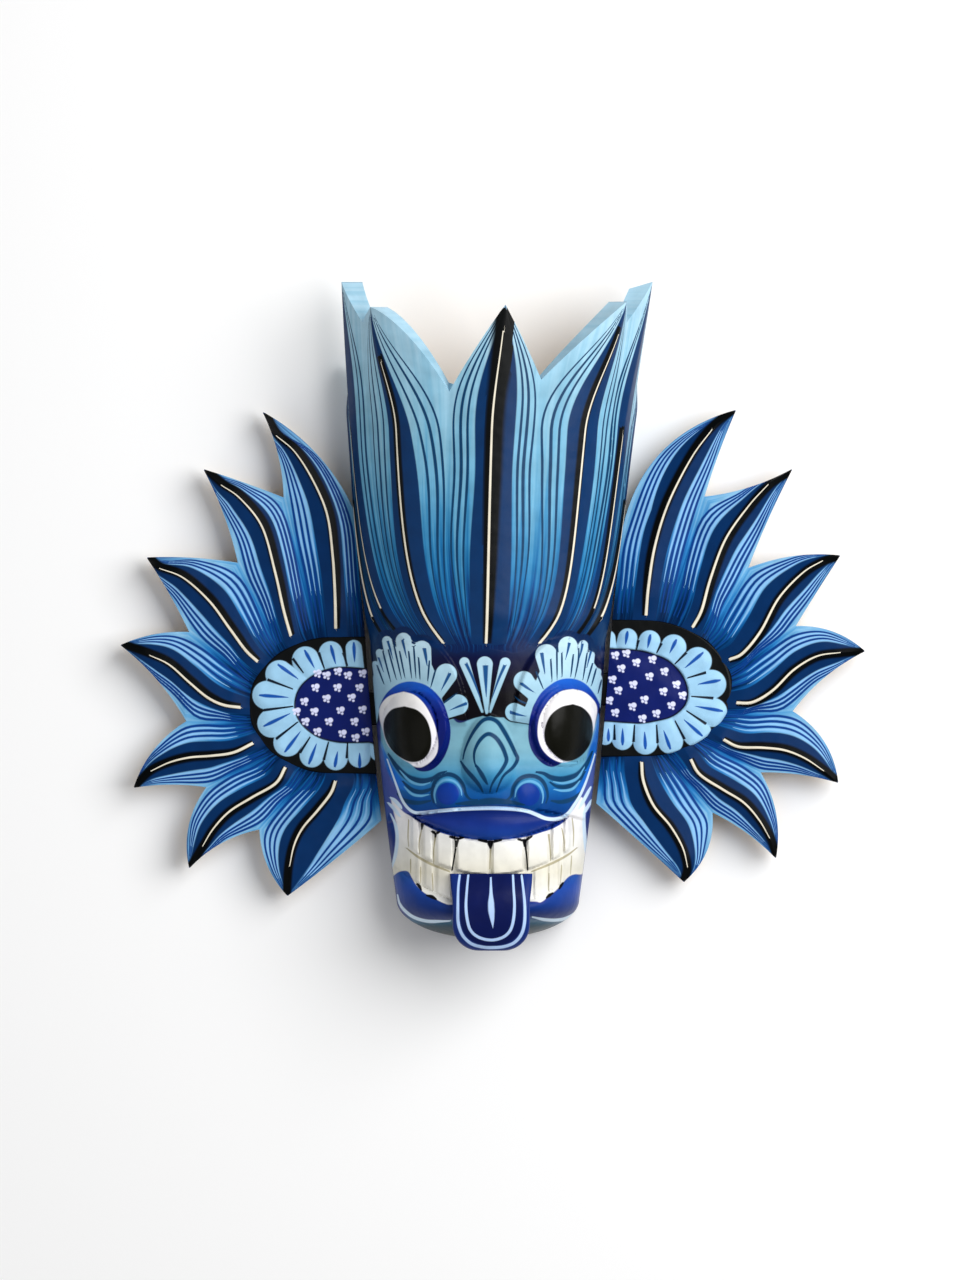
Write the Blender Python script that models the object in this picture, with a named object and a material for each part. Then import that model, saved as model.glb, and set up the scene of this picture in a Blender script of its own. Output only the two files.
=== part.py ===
"""Sri Lankan raksha mask: a fire demon's face under a crown of flames, with a board of flames at each ear.

It lies on the rim of its hollow back, with the face looking up (+Z) and the crown towards +Y.
The origin is on the surface that it lies on, under the middle of its bounding box.
All the sizes below are in millimetres, and the angles are in degrees.
"""

import math

import bmesh
import bpy
import numpy as np
from mathutils.geometry import delaunay_2d_cdt

MM = 0.001
SAME_PLACE = 0.00002
CDT_REACH = 0.0001
ALL_TRIANGLES = 0
FLAT_AREA = 0.001

# The hollow half log that the face and the crown are carved from
BROW_Y = -11.0
HALF_WIDTH = 54.9
CROWN_FLARE = 0.101
JAW_TAPER = 0.060
JAW_ROUND = 0.00035
DEPTH = 42.5
CROWN_LEAN = 0.062
JAW_THINNING = 0.030
FLANK = 16.0
FLANK_GIRTH = 15.0
EDGE_GIRTH = 90.0 + FLANK_GIRTH
AXIS_X = -3.2
AXIS_DRIFT = 4.5
CROWN_HEIGHT = 165.0
CHIN_Y = -130.0
CHIN_REACH = 18.0
CHIN_ROLL = 26.0
WALL = 9.0
CROWN_WALL = 7.5

# The crown's flames: girth of the root and of the body, spread of the root, girth and height of the tip
CROWN_ROOT_Y = -14.0
CROWN_FLAMES = (
    (-56, -99, 42, -99, 118),
    (-40, -79, 28, -79, 153),
    (-20, -41, 22, -53, 141),
    (0, 1, 20, 4, 141.5),
    (25, 41, 15, 56, 143.5),
    (43, 67, 18, 77, 153),
    (52, 99, 38, 99, 118),
)
# The notches between them: girth and height
CROWN_NOTCHES = ((-90, 100), (-62, 134), (-17, 102), (20, 107.5), (61, 134), (90, 100))
CROWN_EDGE_Y = 92.0
# How far each flame's left and right edge bellies out, as a share of the edge's rise
CROWN_BELLY = ((0, 0), (0, 0), (0, 0.17), (0, 0), (0.06, 0), (0, 0), (0, 0))
LEAN_START = 84.0
RIDGE = 2.3

# Features of the face: centres (x, y), half sizes (x, y) and heights above the cheek
EYE_RIMS = ((-35.3, -51.0), (33.2, -50.4))
EYE_RIM_SIZE = (16.2, 20.6)
RIM_HEIGHT = 3.6
EYEBALLS = ((-38.2, -51.2), (35.2, -50.4))
EYEBALL_SIZE = (13.0, 17.0)
EYEBALL_SEAT = 1.5
EYEBALL_DOME = 6.5
BROW_FAN = (24.5, 42.5)
BROW_HEIGHT = 2.4
NOSE = (-2.2, -70.0)
NOSE_HALF_WIDTH = 12.8
NOSE_RISE = 25.0
NOSE_DROP = 11.5
NOSE_HEIGHT = 9.0
NOSTRILS = ((-20.6, -81.0), (16.2, -81.4))
NOSTRIL_RADIUS = 8.6
NOSTRIL_HEIGHT = 5.0
MUZZLE_TOP = -64.0
MUZZLE_HEIGHT = 2.4

# The mouth: every edge is a bow, its height at the middle and its curve
MOUTH_X = -1.0
LIP_TOP = (-87.5, -0.0035)
LIP_UNDER = (-102.0, 0.0085)
BITE = (-118.5, 0.0085)
GUM = (-132.5, 0.0092)
LOWER_LIP_UNDER = (-139.5, 0.0)
LIP_HEIGHT = 5.2
LOWER_LIP_HEIGHT = 4.6
UPPER_TOOTH_HEIGHT = 2.6
LOWER_TOOTH_HEIGHT = 1.2
UPPER_TEETH = (-38.0, -32.7, -26.7, -17.4, -1.1, 14.8, 26.1, 31.7, 36.0)
LOWER_TEETH = (-36.0, -32.0, -26.4, -18.0, -6.0, 6.0, 17.8, 24.4, 29.0, 33.5)
TOOTH_GAP = 0.7
TOOTH_EDGE = 0.9

# The tongue that hangs over the lower lip
TONGUE_X = -0.8
TONGUE_TOP = -117.5
TONGUE_TIP = -152.7
TONGUE_HALF = 18.0
TONGUE_CORNER = 11.0
TONGUE_FRONT = 62.4
TONGUE_CREST = -133.0
TONGUE_DROOP = 0.021
TONGUE_THICK = 8.0
TONGUE_BEVEL = 1.6

# The boards of flames at the ears
BOARD_UNDER = 8.0
BOARD_EDGE = 7.5
BOARD_WEB = 7.0
BOARD_RIDGE = 9.8
RING_RIDGE = 8.2
PETAL_EDGE = 7.8
PETAL_TOP = 9.4
HEART_TOP = 8.6
BOARD_GAP = 3.0
RING_SIZE = (39.6, 31.7)
HEART_SIZE = (20.0, 17.5)
PETALS = 9
TENON = (16.0, 6.0)
TENON_UNDER = 9.0
FIT = 0.3

# Each board: the ring's centre, the tenon's height on the face, the notches (angle, reach) and the
# flames (angle of the root, angle and reach of the tip, bow of the spine, bow of the two edges)
LEFT_BOARD = {
    "centre": (-72.6, -40.9),
    "tenon_y": -42.5,
    "notches": ((86.4, 90.2), (103.8, 98.1), (124.2, 79), (153.3, 74.7), (186.2, 68.5),
                (212.6, 69.9), (238.8, 66.7), (275, 53.1)),
    "flames": ((89, 103.7, 138.2, -0.125, -0.08, -0.05), (122, 119, 123.5, -0.12, 0, -0.03),
               (150, 141.8, 109.4, -0.075, -0.02, -0.02), (182, 164.3, 101.8, 0.03, -0.07, -0.05),
               (204, 202.3, 99.4, -0.10, -0.09, -0.04), (232, 228.2, 100, -0.07, -0.11, -0.08),
               (270, 256.1, 90, -0.11, -0.09, 0.01)),
}
RIGHT_BOARD = {
    "centre": (67.7, -33.1),
    "tenon_y": -33.5,
    "notches": ((95.2, 73.4), (71.5, 92.7), (48.1, 74.1), (21.8, 76.8), (-8.6, 70.7),
                (-35, 67.4), (-59.9, 66), (-97.4, 53.3)),
    "flames": ((87.5, 71.1, 134.7, 0.12, 0.13, 0.03), (50, 55.3, 122, 0.10, -0.03, 0.045),
               (18, 33.6, 109.8, 0.08, 0.04, 0.03), (-8.5, 9.4, 104.2, 0.075, 0.10, 0.06),
               (-32, -25.5, 100.4, 0.115, 0.12, 0.04), (-54, -51.4, 99.5, 0.09, 0.045, 0.04),
               (-89, -77.4, 91, 0.085, 0.125, 0.04)),
}


def smooth(t):
    """Rises from 0 to 1 with level ends."""
    t = np.clip(t, 0.0, 1.0)
    return t * t * (3.0 - 2.0 * t)


def bow(curve, x):
    """Height of one of the mouth's edges at x."""
    return curve[0] + curve[1] * (x - MOUTH_X) ** 2


def oval(x, y, centre, size):
    """0 at the centre of an oval, 1 on its edge."""
    return np.hypot((x - centre[0]) / size[0], (y - centre[1]) / size[1])


def log_section(y):
    """Axis, half width and depth of the half log's cross-section at height y."""
    up = np.maximum(y - BROW_Y, 0.0)
    down = np.maximum(BROW_Y - y, 0.0)
    axis = AXIS_X + AXIS_DRIFT * (up / CROWN_HEIGHT) ** 2
    half = HALF_WIDTH + CROWN_FLARE * up - JAW_TAPER * down - JAW_ROUND * down**2
    depth = DEPTH + CROWN_LEAN * up - JAW_THINNING * down
    return axis, half, depth


def log_point(girth, climb, inset):
    """Point of the half log. Girth is the angle round the front, and past 90 it runs down the flank
    to the rim. Climb is the height, and below the chin's start it rolls under like an egg's end.
    Inset moves the point into the wood."""
    roll = np.radians(np.clip((CHIN_Y - climb) / CHIN_ROLL, 0.0, 1.0) * 90.0)
    axis, half, depth = log_section(np.maximum(climb, CHIN_Y))
    turn = np.radians(np.clip(girth, -90.0, 90.0))
    flank = np.clip((np.abs(girth) - 90.0) / FLANK_GIRTH, 0.0, 1.0)
    x = axis + (half - inset) * np.cos(roll) * np.sin(turn)
    y = np.maximum(climb, CHIN_Y) - (CHIN_REACH - inset) * np.sin(roll)
    z = FLANK * (1.0 - flank) + (depth - inset) * np.cos(roll) * np.cos(turn)
    return x, y, z


def on_log(x, y):
    """Girth and climb of the point of the half log that is seen at (x, y) from the front."""
    y = np.asarray(y, float)
    roll = np.arcsin(np.clip((CHIN_Y - y) / CHIN_REACH, 0.0, 0.999))
    climb = np.where(y < CHIN_Y, CHIN_Y - CHIN_ROLL * roll / (math.pi / 2), y)
    axis, half, _ = log_section(np.maximum(y, CHIN_Y))
    side = (x - axis) / (half * np.cos(roll))
    return np.degrees(np.arcsin(np.clip(side, -1.0, 1.0))), climb


def teeth(x, y, edges, top, under, height):
    """A row of blocks between two bows, each a little crowned, with a narrow gap between them."""
    row = smooth((top - y) / TOOTH_EDGE) * smooth((y - under) / TOOTH_EDGE)
    block = np.zeros_like(x)
    for left, right in zip(edges, edges[1:]):
        reach = (right - left - TOOTH_GAP) / 2
        away = reach - np.abs(x - (left + right) / 2)
        block = np.maximum(block, smooth(away / TOOTH_EDGE))
    return height * row * block


def face_relief(x, y):
    """How far the carving of the face stands in front of the half log at (x, y)."""
    x, y = np.asarray(x, float), np.asarray(y, float)
    muzzle = smooth((MUZZLE_TOP - y) / 6.0) * smooth((y - bow(LIP_TOP, x)) / 1.5)
    height = MUZZLE_HEIGHT * muzzle
    for rim in EYE_RIMS:
        fan = 1.0 - smooth((oval(x, y, rim, BROW_FAN) - 0.93) / 0.07)
        height = np.maximum(height, BROW_HEIGHT * fan * smooth((y - rim[1]) / 5.0))
    for rim, ball in zip(EYE_RIMS, EYEBALLS):
        lid = 1.0 - smooth((oval(x, y, rim, EYE_RIM_SIZE) - 0.84) / 0.16)
        height = np.maximum(height, RIM_HEIGHT * lid)
        ring = oval(x, y, ball, EYEBALL_SIZE)
        dome = EYEBALL_SEAT + EYEBALL_DOME * np.sqrt(np.clip(1.0 - ring**2, 0.0, 1.0))
        height = np.where(ring < 1.0, dome, height)
    nose_size = np.where(y > NOSE[1], NOSE_RISE, NOSE_DROP)
    ring = np.hypot((x - NOSE[0]) / NOSE_HALF_WIDTH, (y - NOSE[1]) / nose_size)
    ridge = NOSE_HEIGHT * np.clip(1.0 - ring**2, 0.0, 1.0) ** 0.75
    height = np.maximum(height, ridge + height * 0.4 * (ring < 1.0))
    for nostril in NOSTRILS:
        ring = oval(x, y, nostril, (NOSTRIL_RADIUS, NOSTRIL_RADIUS))
        height = np.maximum(height, NOSTRIL_HEIGHT * np.sqrt(np.clip(1.0 - ring**2, 0.0, 1.0)))
    top, under = bow(LIP_TOP, x), bow(LIP_UNDER, x)
    across = (2 * y - top - under) / np.maximum(top - under, 0.5)
    lip = LIP_HEIGHT * np.sqrt(np.clip(1.0 - across**2, 0.0, 1.0)) * (top > under + 0.5)
    height = np.maximum(height, lip)
    bite, gum = bow(BITE, x), bow(GUM, x)
    height = np.maximum(height, teeth(x, y, UPPER_TEETH, under, bite, UPPER_TOOTH_HEIGHT))
    height = np.maximum(height, teeth(x, y, LOWER_TEETH, bite, gum, LOWER_TOOTH_HEIGHT))
    low = bow(LOWER_LIP_UNDER, x)
    across = (2 * y - gum - low) / (gum - low)
    lower_lip = LOWER_LIP_HEIGHT * np.sqrt(np.clip(1.0 - across**2, 0.0, 1.0))
    return np.maximum(height, lower_lip)


def flame_spine(flame, climb):
    """Girth of a crown flame's spine: it spreads from the root, stands, then leans to its tip."""
    root, body, spread, tip, tip_y = flame
    rise = np.maximum(climb - CROWN_ROOT_Y, 0.0)
    lean = smooth((climb - LEAN_START) / max(tip_y - LEAN_START, 1.0))
    return root + (body - root) * (1.0 - np.exp(-rise / spread)) + (tip - body) * lean


def crown_web(number, climb):
    """Girth of the low line between two crown flames, which ends in their notch."""
    middle = (flame_spine(CROWN_FLAMES[number], climb)
              + flame_spine(CROWN_FLAMES[number + 1], climb)) / 2
    notch, notch_y = CROWN_NOTCHES[number]
    return middle + (notch - middle) * smooth((climb - CROWN_ROOT_Y) / (notch_y - CROWN_ROOT_Y))


def crown_ridge(girth, climb):
    """Height of the crown's carving: a ridge on each spine, falling to the webs."""
    lines, heights = [np.full_like(girth, -EDGE_GIRTH - 8.0)], [0.0]
    for number, flame in enumerate(CROWN_FLAMES):
        lines.append(flame_spine(flame, climb))
        heights.append(RIDGE)
        if number < len(CROWN_NOTCHES):
            lines.append(crown_web(number, climb))
            heights.append(0.0)
    lines.append(np.full_like(girth, EDGE_GIRTH + 8.0))
    heights.append(0.0)
    found = np.zeros_like(girth)
    for left, right, low, high in zip(lines, lines[1:], heights, heights[1:]):
        share = (girth - left) / np.maximum(right - left, 0.5)
        inside = (girth >= left) & (girth <= right)
        found = np.where(inside, low + (high - low) * share, found)
    return found * smooth((climb - CROWN_ROOT_Y) / 16.0)


def carved(girth, climb):
    """Point of the mask's carved front, in millimetres."""
    x, y, z = log_point(girth, climb, 0.0)
    turn = np.radians(np.clip(girth, -90.0, 90.0))
    ridge = crown_ridge(girth, climb)
    front = np.cos(turn)
    step = face_relief(x, y) * smooth((CROWN_ROOT_Y + 4.0 - climb) / 3.0)
    step = step * smooth(front / 0.25)
    return x + ridge * np.sin(turn), y, z + ridge * front + step


def hollowed(girth, climb):
    """Point of the mask's hollow back, in millimetres."""
    thin = smooth((climb - BROW_Y) / 60.0)
    return log_point(girth, climb, WALL + (CROWN_WALL - WALL) * thin)


def line(start, end, spacing):
    """Points from start to end, both kept, about this far apart."""
    count = max(2, int(math.dist(start, end) / spacing + 1.5))
    return [tuple(p) for p in np.linspace(start, end, count)]


def crown_outline():
    """The crown's jagged top from left to right, in girth and climb."""
    marks = [(-EDGE_GIRTH, CROWN_EDGE_Y)]
    for number, flame in enumerate(CROWN_FLAMES):
        marks.append((flame[3], flame[4]))
        marks += CROWN_NOTCHES[number:number + 1]
    marks.append((EDGE_GIRTH, CROWN_EDGE_Y))
    bellies = [belly for pair in CROWN_BELLY for belly in pair]
    points = []
    for start, end, belly in zip(marks, marks[1:], bellies):
        count = max(3, int(math.dist(start, end) / 13.0) + 2)
        share = np.linspace(0.0, 1.0, count)[:-1]
        rise = share if end[1] > start[1] else 1.0 - share
        low, high = min(start[1], end[1]), max(start[1], end[1])
        climb = low + (high - low) * (rise + 4 * belly * rise * (1 - rise))
        points += zip(start[0] + (end[0] - start[0]) * share, climb)
    return points + [marks[-1]]


def seen_line(xs, ys):
    """A line over the face, given as seen from the front, in girth and climb."""
    girth, climb = on_log(np.asarray(xs, float), np.asarray(ys, float))
    return list(zip(girth, climb))


def seen_oval(centre, size, share, count):
    """A closed oval over the face, in girth and climb."""
    turn = np.linspace(0.0, 2 * math.pi, count + 1)
    return seen_line(centre[0] + size[0] * share * np.cos(turn), centre[1] + size[1] * share * np.sin(turn))


def face_lines():
    """The creases and crests of the face, along which its facets are laid."""
    lines = []
    for rim, ball in zip(EYE_RIMS, EYEBALLS):
        lines += [seen_oval(rim, EYE_RIM_SIZE, share, 18) for share in (1.0, 0.85)]
        lines += [seen_oval(ball, EYEBALL_SIZE, share, 16) for share in (1.01, 0.98, 0.8, 0.45)]
        for share in (0.93, 1.0):
            turn = np.linspace(0.15, math.pi - 0.15, 12)
            xs = rim[0] + BROW_FAN[0] * share * np.cos(turn)
            lines.append(seen_line(xs, rim[1] + BROW_FAN[1] * share * np.sin(turn)))
    for share in (1.0, 0.8, 0.45):
        turn = np.linspace(0.0, 2 * math.pi, 17)
        rise = np.where(np.sin(turn) > 0, NOSE_RISE, NOSE_DROP)
        ys = NOSE[1] + rise * share * np.sin(turn)
        lines.append(seen_line(NOSE[0] + NOSE_HALF_WIDTH * share * np.cos(turn), ys))
    for nostril in NOSTRILS:
        size = (NOSTRIL_RADIUS, NOSTRIL_RADIUS)
        lines += [seen_oval(nostril, size, share, 12) for share in (1.0, 0.7)]
    across = np.linspace(-34.0, 32.0, 17)
    for share in (0.04, 0.2, 0.5, 0.8, 0.96):
        lines.append(seen_line(across, bow(LIP_TOP, across) * (1 - share) + bow(LIP_UNDER, across) * share))
    wide = np.linspace(-39.5, 34.0, 18)
    for share in (0.03, 0.2, 0.5, 0.8, 0.97):
        ys = bow(GUM, wide) * (1 - share) + bow(LOWER_LIP_UNDER, wide) * share
        lines.append(seen_line(wide, ys))
    rows = ((UPPER_TEETH, LIP_UNDER, BITE), (LOWER_TEETH, BITE, GUM))
    for edges, top, under in rows:
        for left, right in zip(edges, edges[1:]):
            for inset in (TOOTH_GAP / 2, TOOTH_GAP / 2 + TOOTH_EDGE):
                xs = np.array([left + inset, right - inset, right - inset, left + inset, left + inset])
                gap = inset - TOOTH_GAP / 2 + 0.05
                highs, lows = bow(top, xs) - gap, bow(under, xs) + gap
                lines.append(seen_line(xs, np.where([1, 1, 0, 0, 1], highs, lows)))
    return lines


def crown_lines():
    """The spines and webs of the crown's flames, in girth and climb."""
    lines = []
    for number, flame in enumerate(CROWN_FLAMES):
        climb = np.linspace(CROWN_ROOT_Y + 1.0, flame[4] - 9.0, 11)
        lines.append(list(zip(flame_spine(flame, climb), climb)))
        if number < len(CROWN_NOTCHES):
            climb = np.linspace(CROWN_ROOT_Y + 1.0, CROWN_NOTCHES[number][1] - 9.0, 8)
            lines.append(list(zip(crown_web(number, climb), climb)))
    return lines


def within(outline, points):
    """Which points lie inside the closed outline: those with an odd number of its edges to their left."""
    start = np.array(outline)
    end = np.roll(start, -1, axis=0)
    x, y = points[:, :1], points[:, 1:]
    spans = (start[:, 1] > y) != (end[:, 1] > y)
    rise = np.where(end[:, 1] == start[:, 1], 1.0, end[:, 1] - start[:, 1])
    crossing = start[:, 0] + (y - start[:, 1]) / rise * (end[:, 0] - start[:, 0])
    return (spans & (crossing < x)).sum(axis=1) % 2 == 1


def triangulate(outline, lines, dots):
    """Triangles over the outline, with every line kept as edges. Returns points and corner numbers."""
    points, edges = [], []
    for path in [outline + outline[:1]] + lines:
        first = len(points)
        points += path
        edges += [(first + k, first + k + 1) for k in range(len(path) - 1)]
    points = [tuple(map(float, point)) for point in points + dots]
    found = delaunay_2d_cdt(points, edges, [], ALL_TRIANGLES, CDT_REACH, False)
    places = np.array([tuple(place) for place in found[0]])
    faces = np.array([tuple(face) for face in found[2]])
    sides = places[faces[:, 1:]] - places[faces[:, :1]]
    area = np.abs(np.linalg.det(sides)) / 2
    return places, faces[within(outline, places[faces].mean(axis=1)) & (area > FLAT_AREA)]


def spread_dots(steps, top, lines, clear):
    """A grid of points inside the mask's outline, leaving out those that are close to a line."""
    taken = np.array([point for path in lines for point in path])
    dots = []
    for climb in np.arange(CHIN_Y - CHIN_ROLL + steps[1] / 2, top, steps[1]):
        for girth in np.arange(-EDGE_GIRTH + steps[0] / 2, EDGE_GIRTH, steps[0]):
            if np.hypot(*(taken - (girth, climb)).T).min() > clear:
                dots.append((girth, climb))
    return dots


def add_skin(mesh, outline, lines, dots, place, inward):
    """Adds the triangulated surface to the mesh, each point put in space by the place function."""
    flat, faces = triangulate(outline, lines, dots)
    x, y, z = place(flat[:, 0], flat[:, 1])
    verts = [mesh.verts.new(p) for p in np.stack([x, y, z], axis=1) * MM]
    for face in faces:
        mesh.faces.new([verts[k] for k in (face[::-1] if inward else face)])


def add_strip(mesh, first, second):
    """Adds a band of quads between two rows of points, in millimetres."""
    upper = [mesh.verts.new(np.array(p) * MM) for p in first]
    lower = [mesh.verts.new(np.array(p) * MM) for p in second]
    for k in range(len(first) - 1):
        mesh.faces.new((upper[k], lower[k], lower[k + 1], upper[k + 1]))


def new_object(name, mesh, material):
    """Makes an object of the finished bmesh."""
    bmesh.ops.remove_doubles(mesh, verts=mesh.verts, dist=SAME_PLACE)
    bmesh.ops.triangulate(mesh, faces=mesh.faces)
    bmesh.ops.recalc_face_normals(mesh, faces=mesh.faces)
    data = bpy.data.meshes.new(name)
    mesh.to_mesh(data)
    mesh.free()
    if material:
        data.materials.append(material)
    made = bpy.data.objects.new(name, data)
    bpy.context.scene.collection.objects.link(made)
    return made


def paint(name, colour, roughness):
    """An enamel paint."""
    material = bpy.data.materials.new(name)
    material.use_nodes = True
    shader = material.node_tree.nodes["Principled BSDF"]
    shader.inputs["Base Color"].default_value = (*colour, 1.0)
    shader.inputs["Roughness"].default_value = roughness
    return material


def combine(target, tool, operation):
    """A live Boolean of the target with a hidden tool."""
    tool.hide_render = True
    tool.display_type = "WIRE"
    modifier = target.modifiers.new(tool.name, "BOOLEAN")
    modifier.operation = operation
    modifier.object = tool


def block(name, low, high):
    """A box between two corners, in millimetres."""
    mesh = bmesh.new()
    bmesh.ops.create_cube(mesh, size=1.0)
    low, high = np.array(low), np.array(high)
    for vert in mesh.verts:
        vert.co = ((low + high) / 2 + np.array(vert.co) * (high - low)) * MM
    return new_object(name, mesh, None)


def face_node(material):
    """The face and its crown, carved in one with a hollow back."""
    mesh = bmesh.new()
    rim_climb = np.array([CROWN_EDGE_Y, 70, 45, 20, -5, -30, -55, -80, -105, CHIN_Y, -137, -143, -150,
                          CHIN_Y - CHIN_ROLL])
    left = [(-EDGE_GIRTH, climb) for climb in rim_climb]
    right = [(EDGE_GIRTH, climb) for climb in rim_climb]
    turn = np.linspace(-90.0, 90.0, 21)
    under = [(girth, CHIN_Y - CHIN_ROLL) for girth in turn]
    top = crown_outline()
    outline = left + under + right[::-1] + top[-2:0:-1]
    creases = face_lines() + crown_lines()
    taken = creases + [outline]
    dots = spread_dots((9.0, 8.5), CROWN_EDGE_Y, taken, 3.6)
    add_skin(mesh, outline, creases, dots, carved, False)
    inner_dots = spread_dots((15.0, 20.0), CROWN_EDGE_Y, [outline], 6.0)
    add_skin(mesh, outline, [], inner_dots, hollowed, True)
    for edge in (left, top, right[::-1]):
        outer = np.stack(carved(*np.array(edge, float).T), axis=1)
        inner = np.stack(hollowed(*np.array(edge, float).T), axis=1)
        add_strip(mesh, outer, inner)
    face = new_object("face", mesh, material)
    combine(face, tongue_solid(), "UNION")
    for side, board in ((-1, LEFT_BOARD), (1, RIGHT_BOARD)):
        middle = board["tenon_y"]
        axis, half, _ = log_section(middle)
        wide, thick = TENON[0] / 2 + FIT, TENON[1] + 2 * FIT
        near, far = axis + side * (half - WALL - 3.0), axis + side * (half + 3.0)
        low = (min(near, far), middle - wide, TENON_UNDER - FIT)
        high = (max(near, far), middle + wide, TENON_UNDER - FIT + thick)
        combine(face, block(f"mortise_{'left' if side < 0 else 'right'}", low, high), "DIFFERENCE")
    return face


def tongue_solid():
    """The tongue: a thick strap lofted from the teeth over the lower lip, with a round end that hangs
    free of the chin."""
    round_y = TONGUE_TIP + TONGUE_CORNER
    turns = np.radians(np.linspace(15.0, 90.0, 6))
    straight = np.linspace(TONGUE_TOP, round_y, 6)
    rows = np.append(straight, round_y - TONGUE_CORNER * np.sin(turns))
    inset = np.append(np.zeros_like(straight), TONGUE_CORNER * (1.0 - np.cos(turns)))
    mesh = bmesh.new()
    loops = []
    for y, half in zip(rows, TONGUE_HALF - inset):
        front = TONGUE_FRONT - TONGUE_DROOP * (y - TONGUE_CREST) ** 2
        back = front - TONGUE_THICK
        right = [(half, back), (half, front - TONGUE_BEVEL), (half - TONGUE_BEVEL, front), (half / 2, front)]
        section = right + [(-x, z) for x, z in right[::-1]]
        loops.append([mesh.verts.new(((TONGUE_X + x) * MM, y * MM, z * MM)) for x, z in section])
    for first, second in zip(loops, loops[1:]):
        for k, vert in enumerate(first):
            ahead = (k + 1) % len(first)
            mesh.faces.new((vert, second[k], second[ahead], first[ahead]))
    mesh.faces.new(loops[0])
    mesh.faces.new(loops[-1][::-1])
    return new_object("tongue_form", mesh, None)


def polar(centre, angle, reach):
    """Point at this angle and reach from the centre."""
    turn = math.radians(angle)
    return np.array([centre[0] + reach * math.cos(turn), centre[1] + reach * math.sin(turn)])


def bowed(start, end, belly, shares):
    """Points of a curve from start to end that bows to its left by a share of its length."""
    start, end = np.array(start), np.array(end)
    along = end - start
    aside = np.array([-along[1], along[0]]) * belly
    return [tuple(start + along * s + aside * 4 * s * (1 - s)) for s in shares]


def ring_point(board, angle, size):
    """Point on the oval of this size round the board's centre, at this angle."""
    turn = math.radians(angle)
    reach = 1.0 / math.hypot(math.cos(turn) / size[0], math.sin(turn) / size[1])
    return polar(board["centre"], angle, reach)


def inner_edge(y, side):
    """Where the board's straight edge runs beside the face."""
    axis, half, _ = log_section(y)
    return axis + side * (half + BOARD_GAP)


def board_node(name, board, side, material):
    """A flat board of seven flames round a half flower, with the tenon that the face holds."""
    centre = board["centre"]
    paths = []

    def put(path, heights):
        paths.append((path, list(heights)))

    notches = [polar(centre, *notch) for notch in board["notches"]]
    outline = []
    for number, flame in enumerate(board["flames"]):
        tip = polar(centre, flame[1], flame[2])
        rising = bowed(notches[number], tip, flame[4], (0, 0.3, 0.6, 0.85))
        falling = bowed(notches[number + 1], tip, flame[5], (1, 0.85, 0.6, 0.3))
        outline += rising + falling
    outline.append(tuple(notches[-1]))
    outline += [(inner_edge(y, side), y) for y in np.linspace(notches[-1][1], notches[0][1], 10)[1:-1]]
    put(outline, [BOARD_EDGE] * len(outline))
    for number, flame in enumerate(board["flames"]):
        tip = polar(centre, flame[1], flame[2])
        root = ring_point(board, flame[0], RING_SIZE)
        spine = bowed(root, tip, flame[3], (0.06, 0.2, 0.35, 0.5, 0.65, 0.8, 0.92))
        put(spine, [BOARD_RIDGE] * 6 + [BOARD_RIDGE - 0.8])
        if number:
            angle = (board["flames"][number - 1][0] + flame[0]) / 2
            start = ring_point(board, angle, RING_SIZE)
            put(bowed(start, notches[number], 0, (0.08, 0.35, 0.65, 0.9)), [BOARD_WEB] * 4)
    middle = 180.0 if side < 0 else 0.0
    for size, height in ((RING_SIZE, RING_RIDGE), (HEART_SIZE, PETAL_EDGE)):
        path = [tuple(ring_point(board, middle + turn, size)) for turn in np.linspace(-90, 90, 19)]
        ends = [(inner_edge(y, side) + side * 2.0, y) for y in (path[0][1], path[-1][1])]
        put([ends[0]] + path + [ends[1]], [height] * (len(path) + 2))
    span = 180.0 / (PETALS - 1)
    for number in range(PETALS):
        angle = middle - 90 + span * number
        outer, inner = ring_point(board, angle, RING_SIZE), ring_point(board, angle, HEART_SIZE)
        put(bowed(inner, outer, 0, (0.25, 0.55, 0.85)), [PETAL_TOP - 0.3, PETAL_TOP, PETAL_TOP - 0.4])
        if number < PETALS - 1:
            outer = ring_point(board, angle + span / 2, RING_SIZE)
            inner = ring_point(board, angle + span / 2, HEART_SIZE)
            put(bowed(inner, outer, 0, (0.12, 0.5, 0.88)), [PETAL_EDGE - 0.4] * 3)
    put([tuple(ring_point(board, middle, (9.0, 8.0))), centre], [HEART_TOP, HEART_TOP])
    places = np.array([point for path, _ in paths for point in path])
    heights = np.array([height for _, row in paths for height in row])

    def lifted(x, y):
        near = [np.argmin(np.hypot(*(places - point).T)) for point in zip(x, y)]
        return x, y, BOARD_UNDER + heights[near]

    def level(x, y):
        return x, y, np.full_like(x, BOARD_UNDER)

    mesh = bmesh.new()
    add_skin(mesh, outline, [path for path, _ in paths[1:]], [], lifted, False)
    add_skin(mesh, outline, [], [], level, True)
    ring = outline + outline[:1]
    add_strip(mesh, [(x, y, BOARD_UNDER + BOARD_EDGE) for x, y in ring], [(x, y, BOARD_UNDER) for x, y in ring])
    made = new_object(name, mesh, material)
    axis, half, _ = log_section(board["tenon_y"])
    near, far = axis + side * (half - WALL + 1.0), axis + side * (half + BOARD_GAP + 2.0)
    low = (min(near, far), board["tenon_y"] - TENON[0] / 2, TENON_UNDER)
    high = (max(near, far), board["tenon_y"] + TENON[0] / 2, TENON_UNDER + TENON[1])
    combine(made, block(f"tenon_{name}", low, high), "UNION")
    return made


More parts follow.
